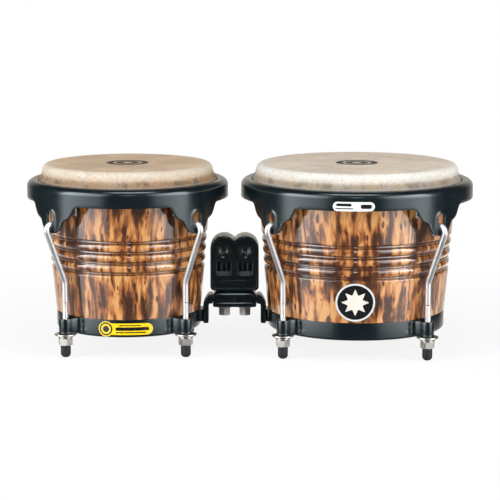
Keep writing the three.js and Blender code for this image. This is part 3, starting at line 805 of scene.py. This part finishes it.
def dish_cutter(x, z, face, front):
    """A round bowl, deepest in the middle."""
    mouth, depth = 8.0, 3.5
    rows = [(r, -depth * (1 - (r / mouth) ** 2)) for r in np.linspace(0, mouth, 12)]
    rows += [(mouth + 0.4, 0.05), (mouth + 0.4, 3.0), (0.0, 3.0)]
    verts, faces = lathe(rows, 56, closed=False)
    verts = np.column_stack((verts[:, 0] + x, -(verts[:, 2] + face), verts[:, 1] + z))
    return turned((verts, faces), front)


def clamp_plate_shape(name, bevel):
    """A clamp plate with a small rounding below and a wider bevel above."""
    low, high = node_box(name)
    x, y = (high[0] - low[0]) / 2, (high[1] - low[1]) / 2
    outline = rounded(rectangle(-x, -y, x, y), 4.2, 6)
    levels = [(inset_by, low[2] + rise) for inset_by, rise in round_edge(0.7, 7)]
    levels += [(0.0, high[2] - bevel * 1.11), (bevel, high[2])]
    holes = [circle(BOLT_HOLE_RADIUS, side * BOLT_OFFSET, 0, 24) for side in (-1, 1)]
    return loft(outline, levels, holes)


def bolt_shape():
    """A bolt whose hexagon head, with a dished end, is below."""
    low, under, top, shank, across_flats = 31.3, 38.8, 78.0, 3.9, 11.1
    segments = 48
    rows = [(0.0, low + 0.5), (3.4, low + 0.5), (3.8, low)]
    rows += hex_rows(across_flats, low, under, segments, chamfer_high=False)
    rows += [(shank, under), (shank, top - 0.8), (3.2, top), (0.0, top)]
    return lathe(rows, segments, closed=False)


def bolt_washer_shape():
    return lathe(rounded(rectangle(BOLT_HOLE_RADIUS, 39.1, 7.6, 41.4), [0.2, 0.8, 0.5, 0.2], 3), 40)


# ---------------- badge and labels

def wrapped(shape, radius_at, azimuth):
    """A flat shape of (along, height, out), wrapped onto a turned side at an azimuth in degrees."""
    along, height, out = np.array(shape[0], float).T
    radius = np.array([radius_at(z) for z in height])
    turns = math.radians(azimuth) + along / radius
    reach = radius + out
    return np.column_stack((reach * np.sin(turns), -reach * np.cos(turns), height)), shape[1]


def pill(width, height, z, x=0.0, steps=10):
    """A bar with round ends. Its long edges have points all along, so that it can bend round a drum."""
    r = height / 2
    along = list(np.arange(r - width / 2, width / 2 - r, 1.5)[1:])
    right = arc((x + width / 2 - r, z), r, -90, 90, steps)
    left = arc((x - width / 2 + r, z), r, 90, 270, steps)
    return right + [(x + u, z + r) for u in reversed(along)] + left + [(x + u, z - r) for u in along]


def filling(outline, pitch):
    """Inner points for a flat region, so that it can bend round a drum."""
    ring = np.array(outline)
    low, high = ring.min(axis=0), ring.max(axis=0)
    grid = [(x, z) for x in np.arange(low[0], high[0], pitch) for z in np.arange(low[1], high[1], pitch)]
    return [p for p in grid if inside(p, [ring]) and distance_to(p, ring) > pitch * 0.45]


# ---------------- materials

def feed(tree, socket, value):
    if isinstance(value, bpy.types.NodeSocket):
        tree.links.new(value, socket)
    else:
        socket.default_value = value


def add_node(tree, kind, inputs=(), **settings):
    """A node with its settings. inputs gives values or other nodes' outputs, by input name or number."""
    made = tree.nodes.new(kind)
    for key, value in settings.items():
        setattr(made, key, value)
    for socket, value in dict(inputs).items():
        feed(tree, made.inputs[socket], value)
    return made


class Look:
    """A node material: a Principled shader and short ways to add and join nodes."""

    def __init__(self, name):
        self.material = bpy.data.materials.new(name)
        self.material.use_nodes = True
        self.tree = self.material.node_tree
        self.shader = self.tree.nodes["Principled BSDF"]
        self.place = self.node("ShaderNodeTexCoord").outputs["Object"]

    def node(self, kind, inputs=(), **settings):
        return add_node(self.tree, kind, inputs, **settings)

    def set(self, **values):
        for name, value in values.items():
            feed(self.tree, self.shader.inputs[name.replace("_", " ")], value)

    def math(self, operation, a, b):
        return self.node("ShaderNodeMath", {0: a, 1: b}, operation=operation).outputs[0]

    def plus(self, a, b):
        return self.math("ADD", a, b)

    def minus(self, a, b):
        return self.math("SUBTRACT", a, b)

    def times(self, a, b):
        return self.math("MULTIPLY", a, b)

    def vector(self, operation, inputs):
        return self.node("ShaderNodeVectorMath", inputs, operation=operation).outputs

    def stretched(self, x, y, z, start=None):
        inputs = {"Vector": start or self.place, "Scale": (x, y, z)}
        return self.node("ShaderNodeMapping", inputs).outputs["Vector"]

    def noise(self, vector, scale, detail=4.0, rough=0.55, distortion=0.0):
        inputs = {"Vector": vector, "Scale": scale, "Detail": detail, "Roughness": rough}
        return self.node("ShaderNodeTexNoise", {**inputs, "Distortion": distortion}).outputs["Fac"]

    def ramp(self, value, stops):
        made = self.node("ShaderNodeValToRGB", {"Fac": value})
        elements = made.color_ramp.elements
        while len(elements) < len(stops):
            elements.new(0.5)
        for element, (position, colour) in zip(elements, stops):
            element.position = position
            element.color = (*colour, 1.0)
        return made.outputs["Color"]

    def span(self, value, low, high, to_low=0.0, to_high=1.0, smooth=False):
        inputs = {"Value": value, "From Min": low, "From Max": high, "To Min": to_low, "To Max": to_high}
        kind = "SMOOTHSTEP" if smooth else "LINEAR"
        made = self.node("ShaderNodeMapRange", inputs, interpolation_type=kind, clamp=True)
        return made.outputs["Result"]

    def mix(self, factor, a, b, blend="MIX"):
        a, b = ((*value, 1.0) if isinstance(value, tuple) else value for value in (a, b))
        made = self.node("ShaderNodeMix", data_type="RGBA", blend_type=blend, clamp_factor=True)
        for socket, value in ((0, factor), (6, a), (7, b)):
            feed(self.tree, made.inputs[socket], value)
        return made.outputs[2]

    def attribute(self, name):
        return self.node("ShaderNodeAttribute", attribute_name=name).outputs["Fac"]

    def bump(self, height, strength, distance):
        inputs = {"Height": height, "Strength": strength, "Distance": distance}
        return self.node("ShaderNodeBump", inputs).outputs["Normal"]


def rgb(red, green, blue):
    """A colour given as 0 to 255 sRGB values, as linear light."""
    def linear(value):
        share = value / 255
        return share / 12.92 if share <= 0.04045 else ((share + 0.055) / 1.055) ** 2.4
    return tuple(linear(v) for v in (red, green, blue))


def scaled(colour, factor):
    return tuple(c * factor for c in colour)


def wood_look(name):
    """Flamed hardwood: soft dark flames and drops on tan, fine upright fibres, painted shade in the grooves,
    and a clear gloss lacquer.
    """
    look = Look(name)
    broad = {"Vector": look.stretched(1, 1, 0.45), "Scale": 36.0, "Detail": 2.0}
    warp = look.node("ShaderNodeTexNoise", broad).outputs["Color"]
    shift = look.vector("SUBTRACT", {0: warp, 1: (0.5, 0.5, 0.5)})[0]
    push = look.vector("SCALE", {0: shift, "Scale": 0.012})[0]
    bent = look.vector("ADD", {0: look.place, 1: push})[0]

    patches = look.noise(look.stretched(1, 1, 0.5, bent), 32.0, 2.0, 0.5)
    flames = look.noise(look.stretched(1, 1, 0.18, bent), 158.0, 3.0, 0.52)
    tone = look.plus(look.times(flames, 1.2), look.times(patches, 0.6))
    light = look.span(tone, 0.72, 1.08, smooth=True)
    grid = {"Vector": look.stretched(1, 1, 0.36, bent), "Scale": 190.0, "Randomness": 0.85}
    cells = look.node("ShaderNodeTexVoronoi", grid).outputs
    chance = look.node("ShaderNodeSeparateColor", {"Color": cells["Color"]}).outputs["Red"]
    reach = look.span(chance, 0.15, 1.0, 0.0, 0.42)
    drops = look.span(look.minus(cells["Distance"], reach), -0.1, 0.06, 0.85, 0.0, smooth=True)
    light = look.times(light, look.minus(1.0, drops))
    fibres = look.noise(look.stretched(1, 1, 0.04), 800.0, 4.0, 0.7)
    flecks = look.noise(look.stretched(1, 1, 0.2), 1300.0, 2.0, 0.6)
    light = look.plus(light, look.span(fibres, 0.3, 0.7, -0.08, 0.07))
    light = look.minus(light, look.span(flecks, 0.62, 0.72, 0.0, 0.22))
    tans = ((0.0, (66, 36, 20)), (0.2, (100, 57, 29)), (0.42, (142, 84, 41)),
            (0.62, (176, 110, 57)), (0.84, (199, 138, 78)), (1.0, (214, 160, 100)))
    colour = look.ramp(light, [(position, rgb(*tan)) for position, tan in tans])
    # Painted shade: the wood is darkened towards deep brown in the grooves between the beads.
    colour = look.mix(look.attribute("stain"), colour, rgb(56, 24, 11))
    look.set(Base_Color=colour, Roughness=look.span(fibres, 0.2, 0.8, 0.46, 0.36))
    look.set(Normal=look.bump(fibres, 0.1, 0.0004))
    look.set(Coat_Weight=1.0, Coat_Roughness=0.04, Coat_IOR=1.85, Specular_IOR_Level=0.25)
    look.set(Coat_Normal=look.bump(look.noise(look.place, 60.0, 2.0), 0.04, 0.0008))
    return look.material


# The playing side, the stretched edge, and the warm and the grey mottling.
HIDE_COLOURS = {
    SMALL: ((200, 176, 150), (202, 196, 182), (206, 160, 112), (134, 114, 90)),
    LARGE: ((212, 198, 182), (214, 214, 209), (212, 188, 156), (158, 144, 124)),
}


def rawhide_look(drum):
    """Rawhide: fibrous and mottled, whiter where it is stretched over the edge, with painted shade on its
    skirt and a plain printed disc.
    """
    look = Look(f"{drum.name}_rawhide")
    top, edge, warm, grey = (rgb(*colour) for colour in HIDE_COLOURS[drum])
    cloud = look.noise(look.place, 30.0, 5.0, 0.6)
    blotch = look.noise(look.place, 62.0, 4.0, 0.62, 0.4)
    other = look.noise(look.stretched(1.3, 1.3, 0.9), 48.0, 4.0, 0.65)
    fibre = look.noise(look.place, 560.0, 4.0, 0.72)
    speck = look.noise(look.place, 1300.0, 2.0, 0.6)
    colour = look.mix(look.span(cloud, 0.36, 0.64), scaled(top, 0.86), scaled(top, 1.1))
    colour = look.mix(look.span(blotch, 0.5, 0.68, 0.0, 0.45), colour, warm)
    white = look.times(look.attribute("stretch"), look.span(blotch, 0.3, 0.62, 0.35, 0.95))
    colour = look.mix(white, colour, edge)
    skirt = look.attribute("skirt")
    colour = look.mix(look.times(skirt, look.span(other, 0.42, 0.58, 0.1, 0.9)), colour, warm)
    colour = look.mix(look.times(skirt, look.span(blotch, 0.5, 0.6, 0.0, 0.75)), colour, grey)
    hem = look.times(look.attribute("hem"), look.span(fibre, 0.35, 0.6, 0.5, 0.9))
    colour = look.mix(hem, colour, edge)
    # Painted shade: the whole skirt, the hide's side, is multiplied darker with grey.
    colour = look.mix(skirt, colour, rgb(188, 189, 191), "MULTIPLY")
    grain = look.ramp(fibre, [(0.34, (0.74, 0.7, 0.66)), (0.5, (1.0, 1.0, 1.0)), (0.68, (1.18, 1.18, 1.18))])
    colour = look.mix(0.8, colour, grain, "MULTIPLY")
    centre = (drum.x * MM, 0.0, drum.head_top * MM)
    away = look.vector("DISTANCE", {0: look.place, 1: centre})["Value"]
    away = look.plus(away, look.span(fibre, 0.3, 0.7, -0.0004, 0.0004))
    disc = look.span(away, 0.0212, 0.0216, 1.0, 0.0)
    ring = look.times(look.span(away, 0.0118, 0.0122), look.span(away, 0.0144, 0.0148, 1.0, 0.0))
    dot = look.span(away, 0.0046, 0.005, 1.0, 0.0)
    ink = look.times(disc, look.minus(1.0, look.math("MAXIMUM", ring, dot)))
    ink = look.times(ink, look.span(speck, 0.25, 0.45, 0.82, 0.97))
    colour = look.mix(ink, colour, rgb(40, 43, 46))
    height = look.plus(look.times(fibre, 0.7), look.times(blotch, 0.5))
    look.set(Base_Color=colour, Roughness=look.span(blotch, 0.3, 0.7, 0.55, 0.72), Specular_IOR_Level=0.3)
    look.set(Subsurface_Weight=0.08, Subsurface_Radius=(0.003, 0.002, 0.0014), Subsurface_Scale=1.0)
    look.set(Normal=look.bump(height, 0.3, 0.0005))
    return look.material


def coated_look(name, colour, roughness, bump=0.1, grain=900.0):
    """Powder coat or moulded plastic: a dark colour with a fine orange peel and slight rubbing."""
    look = Look(name)
    peel = look.noise(look.place, grain, 3.0, 0.6)
    rub = look.noise(look.place, 38.0, 5.0, 0.65)
    look.set(Base_Color=look.mix(look.span(rub, 0.3, 0.75), colour, scaled(colour, 1.35)))
    look.set(Roughness=look.span(rub, 0.3, 0.75, roughness - 0.04, roughness + 0.06))
    look.set(Normal=look.bump(peel, bump, 0.0003))
    look.set(Specular_IOR_Level=0.85, Specular_Tint=(0.84, 0.96, 1.0, 1.0))
    return look.material


def metal_look(name, colour, roughness, scratch=0.06, along=(1, 1, 0.05), tarnish=0.25):
    """Plated metal with fine drawn scratches and faint tarnish."""
    look = Look(name)
    lines = look.noise(look.stretched(*along), 1400.0, 3.0, 0.6)
    haze = look.noise(look.place, 90.0, 5.0, 0.65)
    look.set(Base_Color=look.mix(look.span(haze, 0.45, 0.8, 0.0, tarnish), colour, scaled(colour, 0.6)))
    look.set(Roughness=look.span(haze, 0.3, 0.75, roughness, roughness * 1.7), Metallic=1.0)
    look.set(Normal=look.bump(lines, scratch, 0.0002))
    return look.material


def rubber_look(name):
    """Black rubber with a little pale dust."""
    look = Look(name)
    dust = look.noise(look.place, 260.0, 5.0, 0.7)
    look.set(Base_Color=look.mix(look.span(dust, 0.45, 0.8), rgb(20, 25, 28), rgb(50, 54, 56)))
    look.set(Roughness=look.span(dust, 0.3, 0.8, 0.55, 0.8), Normal=look.bump(dust, 0.25, 0.0003))
    return look.material


def enamel_look(name, colour):
    """Printed or enamelled trim under a clear film."""
    look = Look(name)
    roughness = 0.22
    mottle = look.noise(look.place, 420.0, 4.0, 0.6)
    look.set(Base_Color=look.mix(look.span(mottle, 0.35, 0.7), scaled(colour, 0.93), scaled(colour, 1.04)))
    look.set(Roughness=look.span(mottle, 0.3, 0.7, roughness, roughness + 0.08))
    look.set(Coat_Weight=0.6, Coat_Roughness=0.08)
    look.set(Normal=look.bump(mottle, 0.05, 0.0002))
    return look.material


WOOD = wood_look("lacquered_wood")
BLACK = coated_look("black_powder_coat", rgb(9, 19, 23), 0.22)
BLOCK_LOOK = coated_look("black_moulding", rgb(9, 18, 22), 0.22, 0.06, 600.0)
CHROME = metal_look("chrome", (0.88, 0.89, 0.9), 0.38, 0.03)
NICKEL = metal_look("nickel", (0.76, 0.73, 0.69), 0.24, 0.1, (1, 1, 1))
HOOP = metal_look("hoop_steel", (0.5, 0.5, 0.51), 0.34, 0.2, (1, 1, 1), 0.5)
ZINC = metal_look("zinc", (0.6, 0.57, 0.53), 0.28, 0.15, (1, 1, 1), 0.4)
RUBBER = rubber_look("rubber")
BADGE_BLACK = enamel_look("badge_black", rgb(20, 22, 24))
BADGE_SILVER = enamel_look("badge_silver", rgb(214, 218, 220))
BADGE_CREAM = enamel_look("badge_cream", rgb(226, 222, 212))
LABEL_WHITE = enamel_look("label_white", rgb(226, 228, 228))
LABEL_YELLOW = enamel_look("label_yellow", rgb(244, 208, 10))
LABEL_INK = enamel_look("label_ink", rgb(24, 24, 24))
HIDES = {drum: rawhide_look(drum) for drum in (SMALL, LARGE)}


def paint(made, name, values):
    """A value at every vertex, for a material to read."""
    attribute = made.data.attributes.new(name, "FLOAT", "POINT")
    attribute.data.foreach_set("value", np.array(values, np.float32))


# ---------------- building the object

def heights_and_radii(made, drum):
    """The height and the distance from the drum's axis of every vertex, in millimetres."""
    places = [tuple(v.co) for v in made.data.vertices]
    heights = np.array([z for _, _, z in places]) / MM
    radii = np.array([math.hypot(x - drum.x * MM, y) for x, y, _ in places]) / MM
    return heights, radii


def build_drum(drum):
    """Every piece of one drum. The head rides on no body; its transform is baked into its mesh."""
    rim_set = f"{drum.name}_rim_set"

    def part(name, shape, material, body, slot, node, **settings):
        shape = moved(shape, drum.x)
        nodes = [f"{drum.name}_{node}"]
        return piece(f"{drum.name}_{name}", shape, material, body, slot, nodes, **settings)

    shell = part("shell_wood", shell_shape(drum), WOOD, "drums", "lacquered_wood", "shell")
    heights, radii = heights_and_radii(shell, drum)
    outside = radii > np.array([side_radius(drum, z) - 3.0 for z in heights])
    # Painted shade: the deeper a point lies in a groove, the darker its wood is painted.
    stain = [min(0.85, (groove_depth(drum, z) / GROOVE_DEPTH) ** 2 * 0.9) for z in heights]
    paint(shell, "stain", np.where(outside, stain, 0.0))

    head = part("head_skin", head_shape(drum), HIDES[drum], None, f"{drum.name}_rawhide", "head")
    heights, radii = heights_and_radii(head, drum)
    playing = drum.shell_top_radius + 1.6
    stretch = np.exp(-((radii - playing + 2.0) / 6.0) ** 2) * np.clip((heights - 174) / 6, 0, 1)
    paint(head, "stretch", stretch)
    paint(head, "skirt", np.clip((180.5 - heights) / 4, 0, 1))
    paint(head, "hem", np.exp(-((heights - drum.crest - 0.3) / 0.6) ** 2))
    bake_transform(head)

    part("hoop", hoop_shape(drum), HOOP, rim_set, "hoop_steel", "flesh_hoop")
    part("counterhoop", rim_shape(drum), BLACK, rim_set, "black_steel", "rim", sharp=50, weld=0.02)
    part("ring", bottom_ring_shape(drum), BLACK, "drums", "black_steel", "bottom_ring")

    for place in LUG_PLACES:
        part(f"{place}_rod", lug_shape(drum, place), CHROME, rim_set, "chrome", f"lug_{place}", sharp=60)
        for node, shape, look, body, slot in (
            ("washer", washer_shape(), NICKEL, "drums", "nickel"),
            ("nut", nut_shape(), NICKEL, f"{drum.name}_tuner_{place}", "nickel"),
            ("cap", cap_shape(drum, place), RUBBER, rim_set, "rubber"),
        ):
            stood = stand_at(shape, drum, place)
            part(f"{place}_{node}_fine", stood, look, body, slot, f"{node}_{place}", sharp=28)


def build_centre():
    """The block, its clamp plates, and their bolts and washers. The captive nuts keep their CAD shape."""
    block = moved(block_shape(), BLOCK_X)
    piece("block_moulding", block, BLOCK_LOOK, "drums", "block_plastic", ["centre_block"], sharp=32)
    for name, bevel in (("upper_clamp_plate", 3.2), ("lower_clamp_plate", 0.5)):
        plate = moved(clamp_plate_shape(name, bevel), BLOCK_X)
        piece(f"{name}_fine", plate, BLACK, "drums", "black_steel", [name])
    for side, offset in (("left", -BOLT_OFFSET), ("right", BOLT_OFFSET)):
        bolt, washer = (moved(shape, BLOCK_X + offset) for shape in (bolt_shape(), bolt_washer_shape()))
        piece(f"bolt_{side}", bolt, ZINC, "drums", "zinc", [f"clamp_bolt_{side}"], sharp=28)
        piece(f"bolt_washer_{side}", washer, ZINC, "drums", "zinc", [f"clamp_washer_{side}"])
        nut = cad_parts[f"captive_nut_{side}"]
        nut.data.materials.clear()
        nut.data.materials.append(ZINC)


def build_badge():
    """The bezel, field and star of the badge, without lettering."""
    low, high = node_box("large_badge")
    badge_z, radius = (low[2] + high[2]) / 2, (high[2] - low[2]) / 2
    back = 0.85

    def trim(name, flat, look, **settings):
        shape = wrapped(flat, lambda z: side_radius(LARGE, z), LARGE.twist)
        piece(name, moved(shape, LARGE.x), look, "drums", "badge_enamel", **settings)

    rim = circle(radius - 1.9, 0, badge_z, 72)
    bezel = slab(circle(radius, 0, badge_z, 72), back, 2.1, [rim], 0.4)
    trim("badge_bezel", bezel, BADGE_SILVER, replaces=["large_badge"])
    field = circle(radius - 1.95, 0, badge_z, 64)
    enamel = slab(field, back, 1.6, edge=0.1, inner_points=filling(field, 2.2))
    trim("badge_field", enamel, BADGE_BLACK, sharp=12)
    reaches = [13.6, 7.4] * 8
    tips = [polar(reach, i * 22.5) for i, reach in enumerate(reaches)]
    star = [(x, z + badge_z) for x, z in tips]
    emblem = slab(rounded(star, 1.2, 3), 1.62, 1.95, edge=0.1, inner_points=filling(star, 2.2))
    trim("badge_emblem", emblem, BADGE_CREAM, sharp=12)


def build_labels():
    """The label on the large rim and the one on the small bottom ring, with plain marks for their print."""
    def label(name, outline, base, thick, look, drum, radius, azimuth, body):
        flat = slab(outline, base, base + thick, edge=0.02, inner_points=filling(outline, 2.0))
        shape = wrapped(flat, lambda z: radius, azimuth)
        piece(name, moved(shape, drum.x), look, body, "black_steel", sharp=12)

    def bars(name, sizes, steps, *where):
        for i, (x, z, width, height) in enumerate(sizes):
            label(f"{name}_{i}", pill(width, height, z, x, steps), 0.02, 0.07, LABEL_INK, *where)

    # Where each label goes: its drum, the radius it lies on, its azimuth in degrees, and its body.
    on_rim = (LARGE, LARGE.rim - LABEL_PROUD, -4.3, "large_rim_set")
    on_ring = (SMALL, SMALL.ring, 0.8, "drums")
    label("rim_label", pill(40.5, 9.0, 158.6), -0.1, 0.16, LABEL_WHITE, *on_rim)
    sizes = ((-9.5, 160.2, 15.0, 2.6), (-9.0, 156.6, 17.0, 1.0), (12.0, 158.6, 11.0, 4.2))
    bars("rim_label_bar", sizes, 6, *on_rim)

    middle = 30.6
    label("ring_label", pill(50.0, 11.6, middle, 2.2), -0.1, 0.16, LABEL_YELLOW, *on_ring)
    for i, radius in enumerate((7.7, 6.6, 5.1, 3.2)):
        disc, look = circle(radius, -19.9, middle, 40), (LABEL_YELLOW, LABEL_INK)[i % 2]
        label(f"ring_label_disc_{i}", disc, 0.0, 0.08 + 0.03 * i, look, *on_ring)
    sizes = ((4.0, 34.2, 22.0, 1.0), (6.5, 30.8, 34.0, 3.4), (5.0, 27.2, 30.0, 1.1))
    bars("ring_label_bar", sizes, 5, *on_ring)


for bongo in (SMALL, LARGE):
    build_drum(bongo)
build_centre()
build_badge()
build_labels()


# ---------------- floor, light and camera

def build_floor():
    """A wide white floor, in metres, that glows for the camera and fades into the white around it."""
    mesh = bpy.data.meshes.new("floor")
    reach = 12.0
    corners = [(x, y, 0) for x, y in rectangle(-reach, -reach, reach, reach)]
    mesh.from_pydata(corners, [], [(0, 1, 2, 3)])
    floor = placed("floor", mesh)
    look = Look("floor_white")
    look.set(Base_Color=(0.9, 0.9, 0.9, 1.0), Roughness=0.8, Specular_IOR_Level=0.0)
    away = look.vector("LENGTH", {0: look.place})["Value"]
    seen = look.node("ShaderNodeLightPath").outputs["Is Camera Ray"]
    glow = look.node("ShaderNodeEmission", {"Color": (1.0, 1.0, 1.0, 1.0), "Strength": 1.0}).outputs[0]
    share = look.times(seen, look.span(away, 0.2, 0.6, 0.87, 1.0, smooth=True))
    mix = look.node("ShaderNodeMixShader", {0: share, 1: look.shader.outputs[0], 2: glow})
    look.tree.links.new(mix.outputs[0], look.tree.nodes["Material Output"].inputs["Surface"])
    mesh.materials.append(look.material)
    floor.visible_glossy = False


def dimmed(light, fade, crown):
    """Makes a softbox uneven: fade dims one upright edge, crown brightens the top, and the foot is dim."""
    light.use_nodes = True
    tree = light.node_tree
    place = add_node(tree, "ShaderNodeNewGeometry").outputs["Parametric"]
    split = add_node(tree, "ShaderNodeSeparateXYZ", {0: place}).outputs

    def ramp(axis, start, end, low, high):
        inputs = {"Value": split[axis], "From Min": start, "From Max": end, "To Min": low, "To Max": high}
        made = add_node(tree, "ShaderNodeMapRange", inputs, interpolation_type="SMOOTHSTEP")
        return made.outputs["Result"]

    def product(first, second):
        return add_node(tree, "ShaderNodeMath", {0: first, 1: second}, operation="MULTIPLY").outputs[0]

    sides = (1.0, 1.0 - fade) if fade > 0 else (1.0 + fade, 1.0)
    edge = ramp("X", 0.0, 1.0, *sides)
    rise = product(ramp("Y", 0.41, 0.52, 1.0, crown), ramp("Y", 0.16, 0.31, 0.45, 1.0))
    tree.links.new(product(edge, rise), tree.nodes["Emission"].inputs["Strength"])


def softbox(name, azimuth, distance, height, width, tall, radiance, fade=0.0, crown=1.0):
    """A softbox that faces the drums, in metres. Azimuth 0 is in front, and it grows towards +X."""
    data = bpy.data.lights.new(name, "AREA")
    data.shape = "RECTANGLE"
    data.size, data.size_y = width, tall
    data.energy = radiance * math.pi * width * tall
    if fade:
        dimmed(data, fade, crown)
    light = placed(name, data)
    place, aim = Vector((*polar(distance, azimuth), height)), Vector((0, 0, 0.1))
    light.location = place
    light.rotation_euler = (aim - place).to_track_quat("-Z", "Y").to_euler()
    light.visible_camera = False


def build_world():
    """A dim studio: a lit wall behind, a lit table edge low down behind, and plain white for the camera."""
    world = bpy.data.worlds.new("studio")
    bpy.context.scene.world = world
    world.use_nodes = True
    tree = world.node_tree

    def node(kind, *inputs, **settings):
        return add_node(tree, kind, dict(enumerate(inputs)), **settings).outputs

    way = node("ShaderNodeSeparateXYZ", node("ShaderNodeTexCoord")["Generated"])
    level = node("ShaderNodeMapRange", way["Z"], 0.5, 0.25, 0.0, 1.0)[0]
    deep = node("ShaderNodeMapRange", way["Y"], 0.72, 0.95, 0.0, 0.75)[0]
    wall = node("ShaderNodeMath", level, deep, operation="MULTIPLY")[0]
    low = node("ShaderNodeMapRange", way["Z"], -0.17, -0.3, 0.0, 1.0)[0]
    behind = node("ShaderNodeMapRange", way["Y"], -0.1, 0.5, 0.06, 0.9)[0]
    table = node("ShaderNodeMath", low, behind, operation="MULTIPLY")[0]
    glow = node("ShaderNodeMath", table, 0.05, operation="ADD")[0]
    room = node("ShaderNodeBackground", (1.0, 0.99, 0.97, 1.0), glow)[0]
    lit = node("ShaderNodeAddShader", room, node("ShaderNodeBackground", (1.0, 0.92, 0.82, 1.0), wall)[0])[0]
    seen = node("ShaderNodeBackground", (1.0, 1.0, 1.0, 1.0), 1.0)[0]
    mixed = node("ShaderNodeMixShader", node("ShaderNodeLightPath")["Is Camera Ray"], lit, seen)[0]
    tree.links.new(mixed, tree.nodes["World Output"].inputs["Surface"])


def build_camera():
    """A long lens, looking a little down at the drums from straight in front."""
    aim = Vector((0, 0, 0.098))
    pitch, distance = 0.1604, 2.0609
    data = bpy.data.cameras.new("camera")
    data.sensor_width = 36.0
    data.lens = 146.15
    camera = placed("camera", data)
    camera.location = aim + Vector((0, -math.cos(pitch), math.sin(pitch))) * distance
    camera.rotation_euler = (math.pi / 2 - pitch, 0, 0)
    bpy.context.scene.camera = camera


build_floor()
build_world()
softbox("softbox_left", -52.5, 1.7, 0.3, 1.55, 2.6, 2.85, fade=0.6, crown=2.6)
softbox("softbox_right", 51, 1.7, 0.3, 1.4, 2.6, 2.75, fade=-0.6, crown=2.6)
softbox("softbox_above", 0, 0.45, 1.7, 0.9, 0.3, 9.5)
softbox("softbox_front", 0, 1.7, 0.95, 0.14, 0.6, 6.0)
build_camera()
bpy.context.scene.view_settings.view_transform = "Standard"
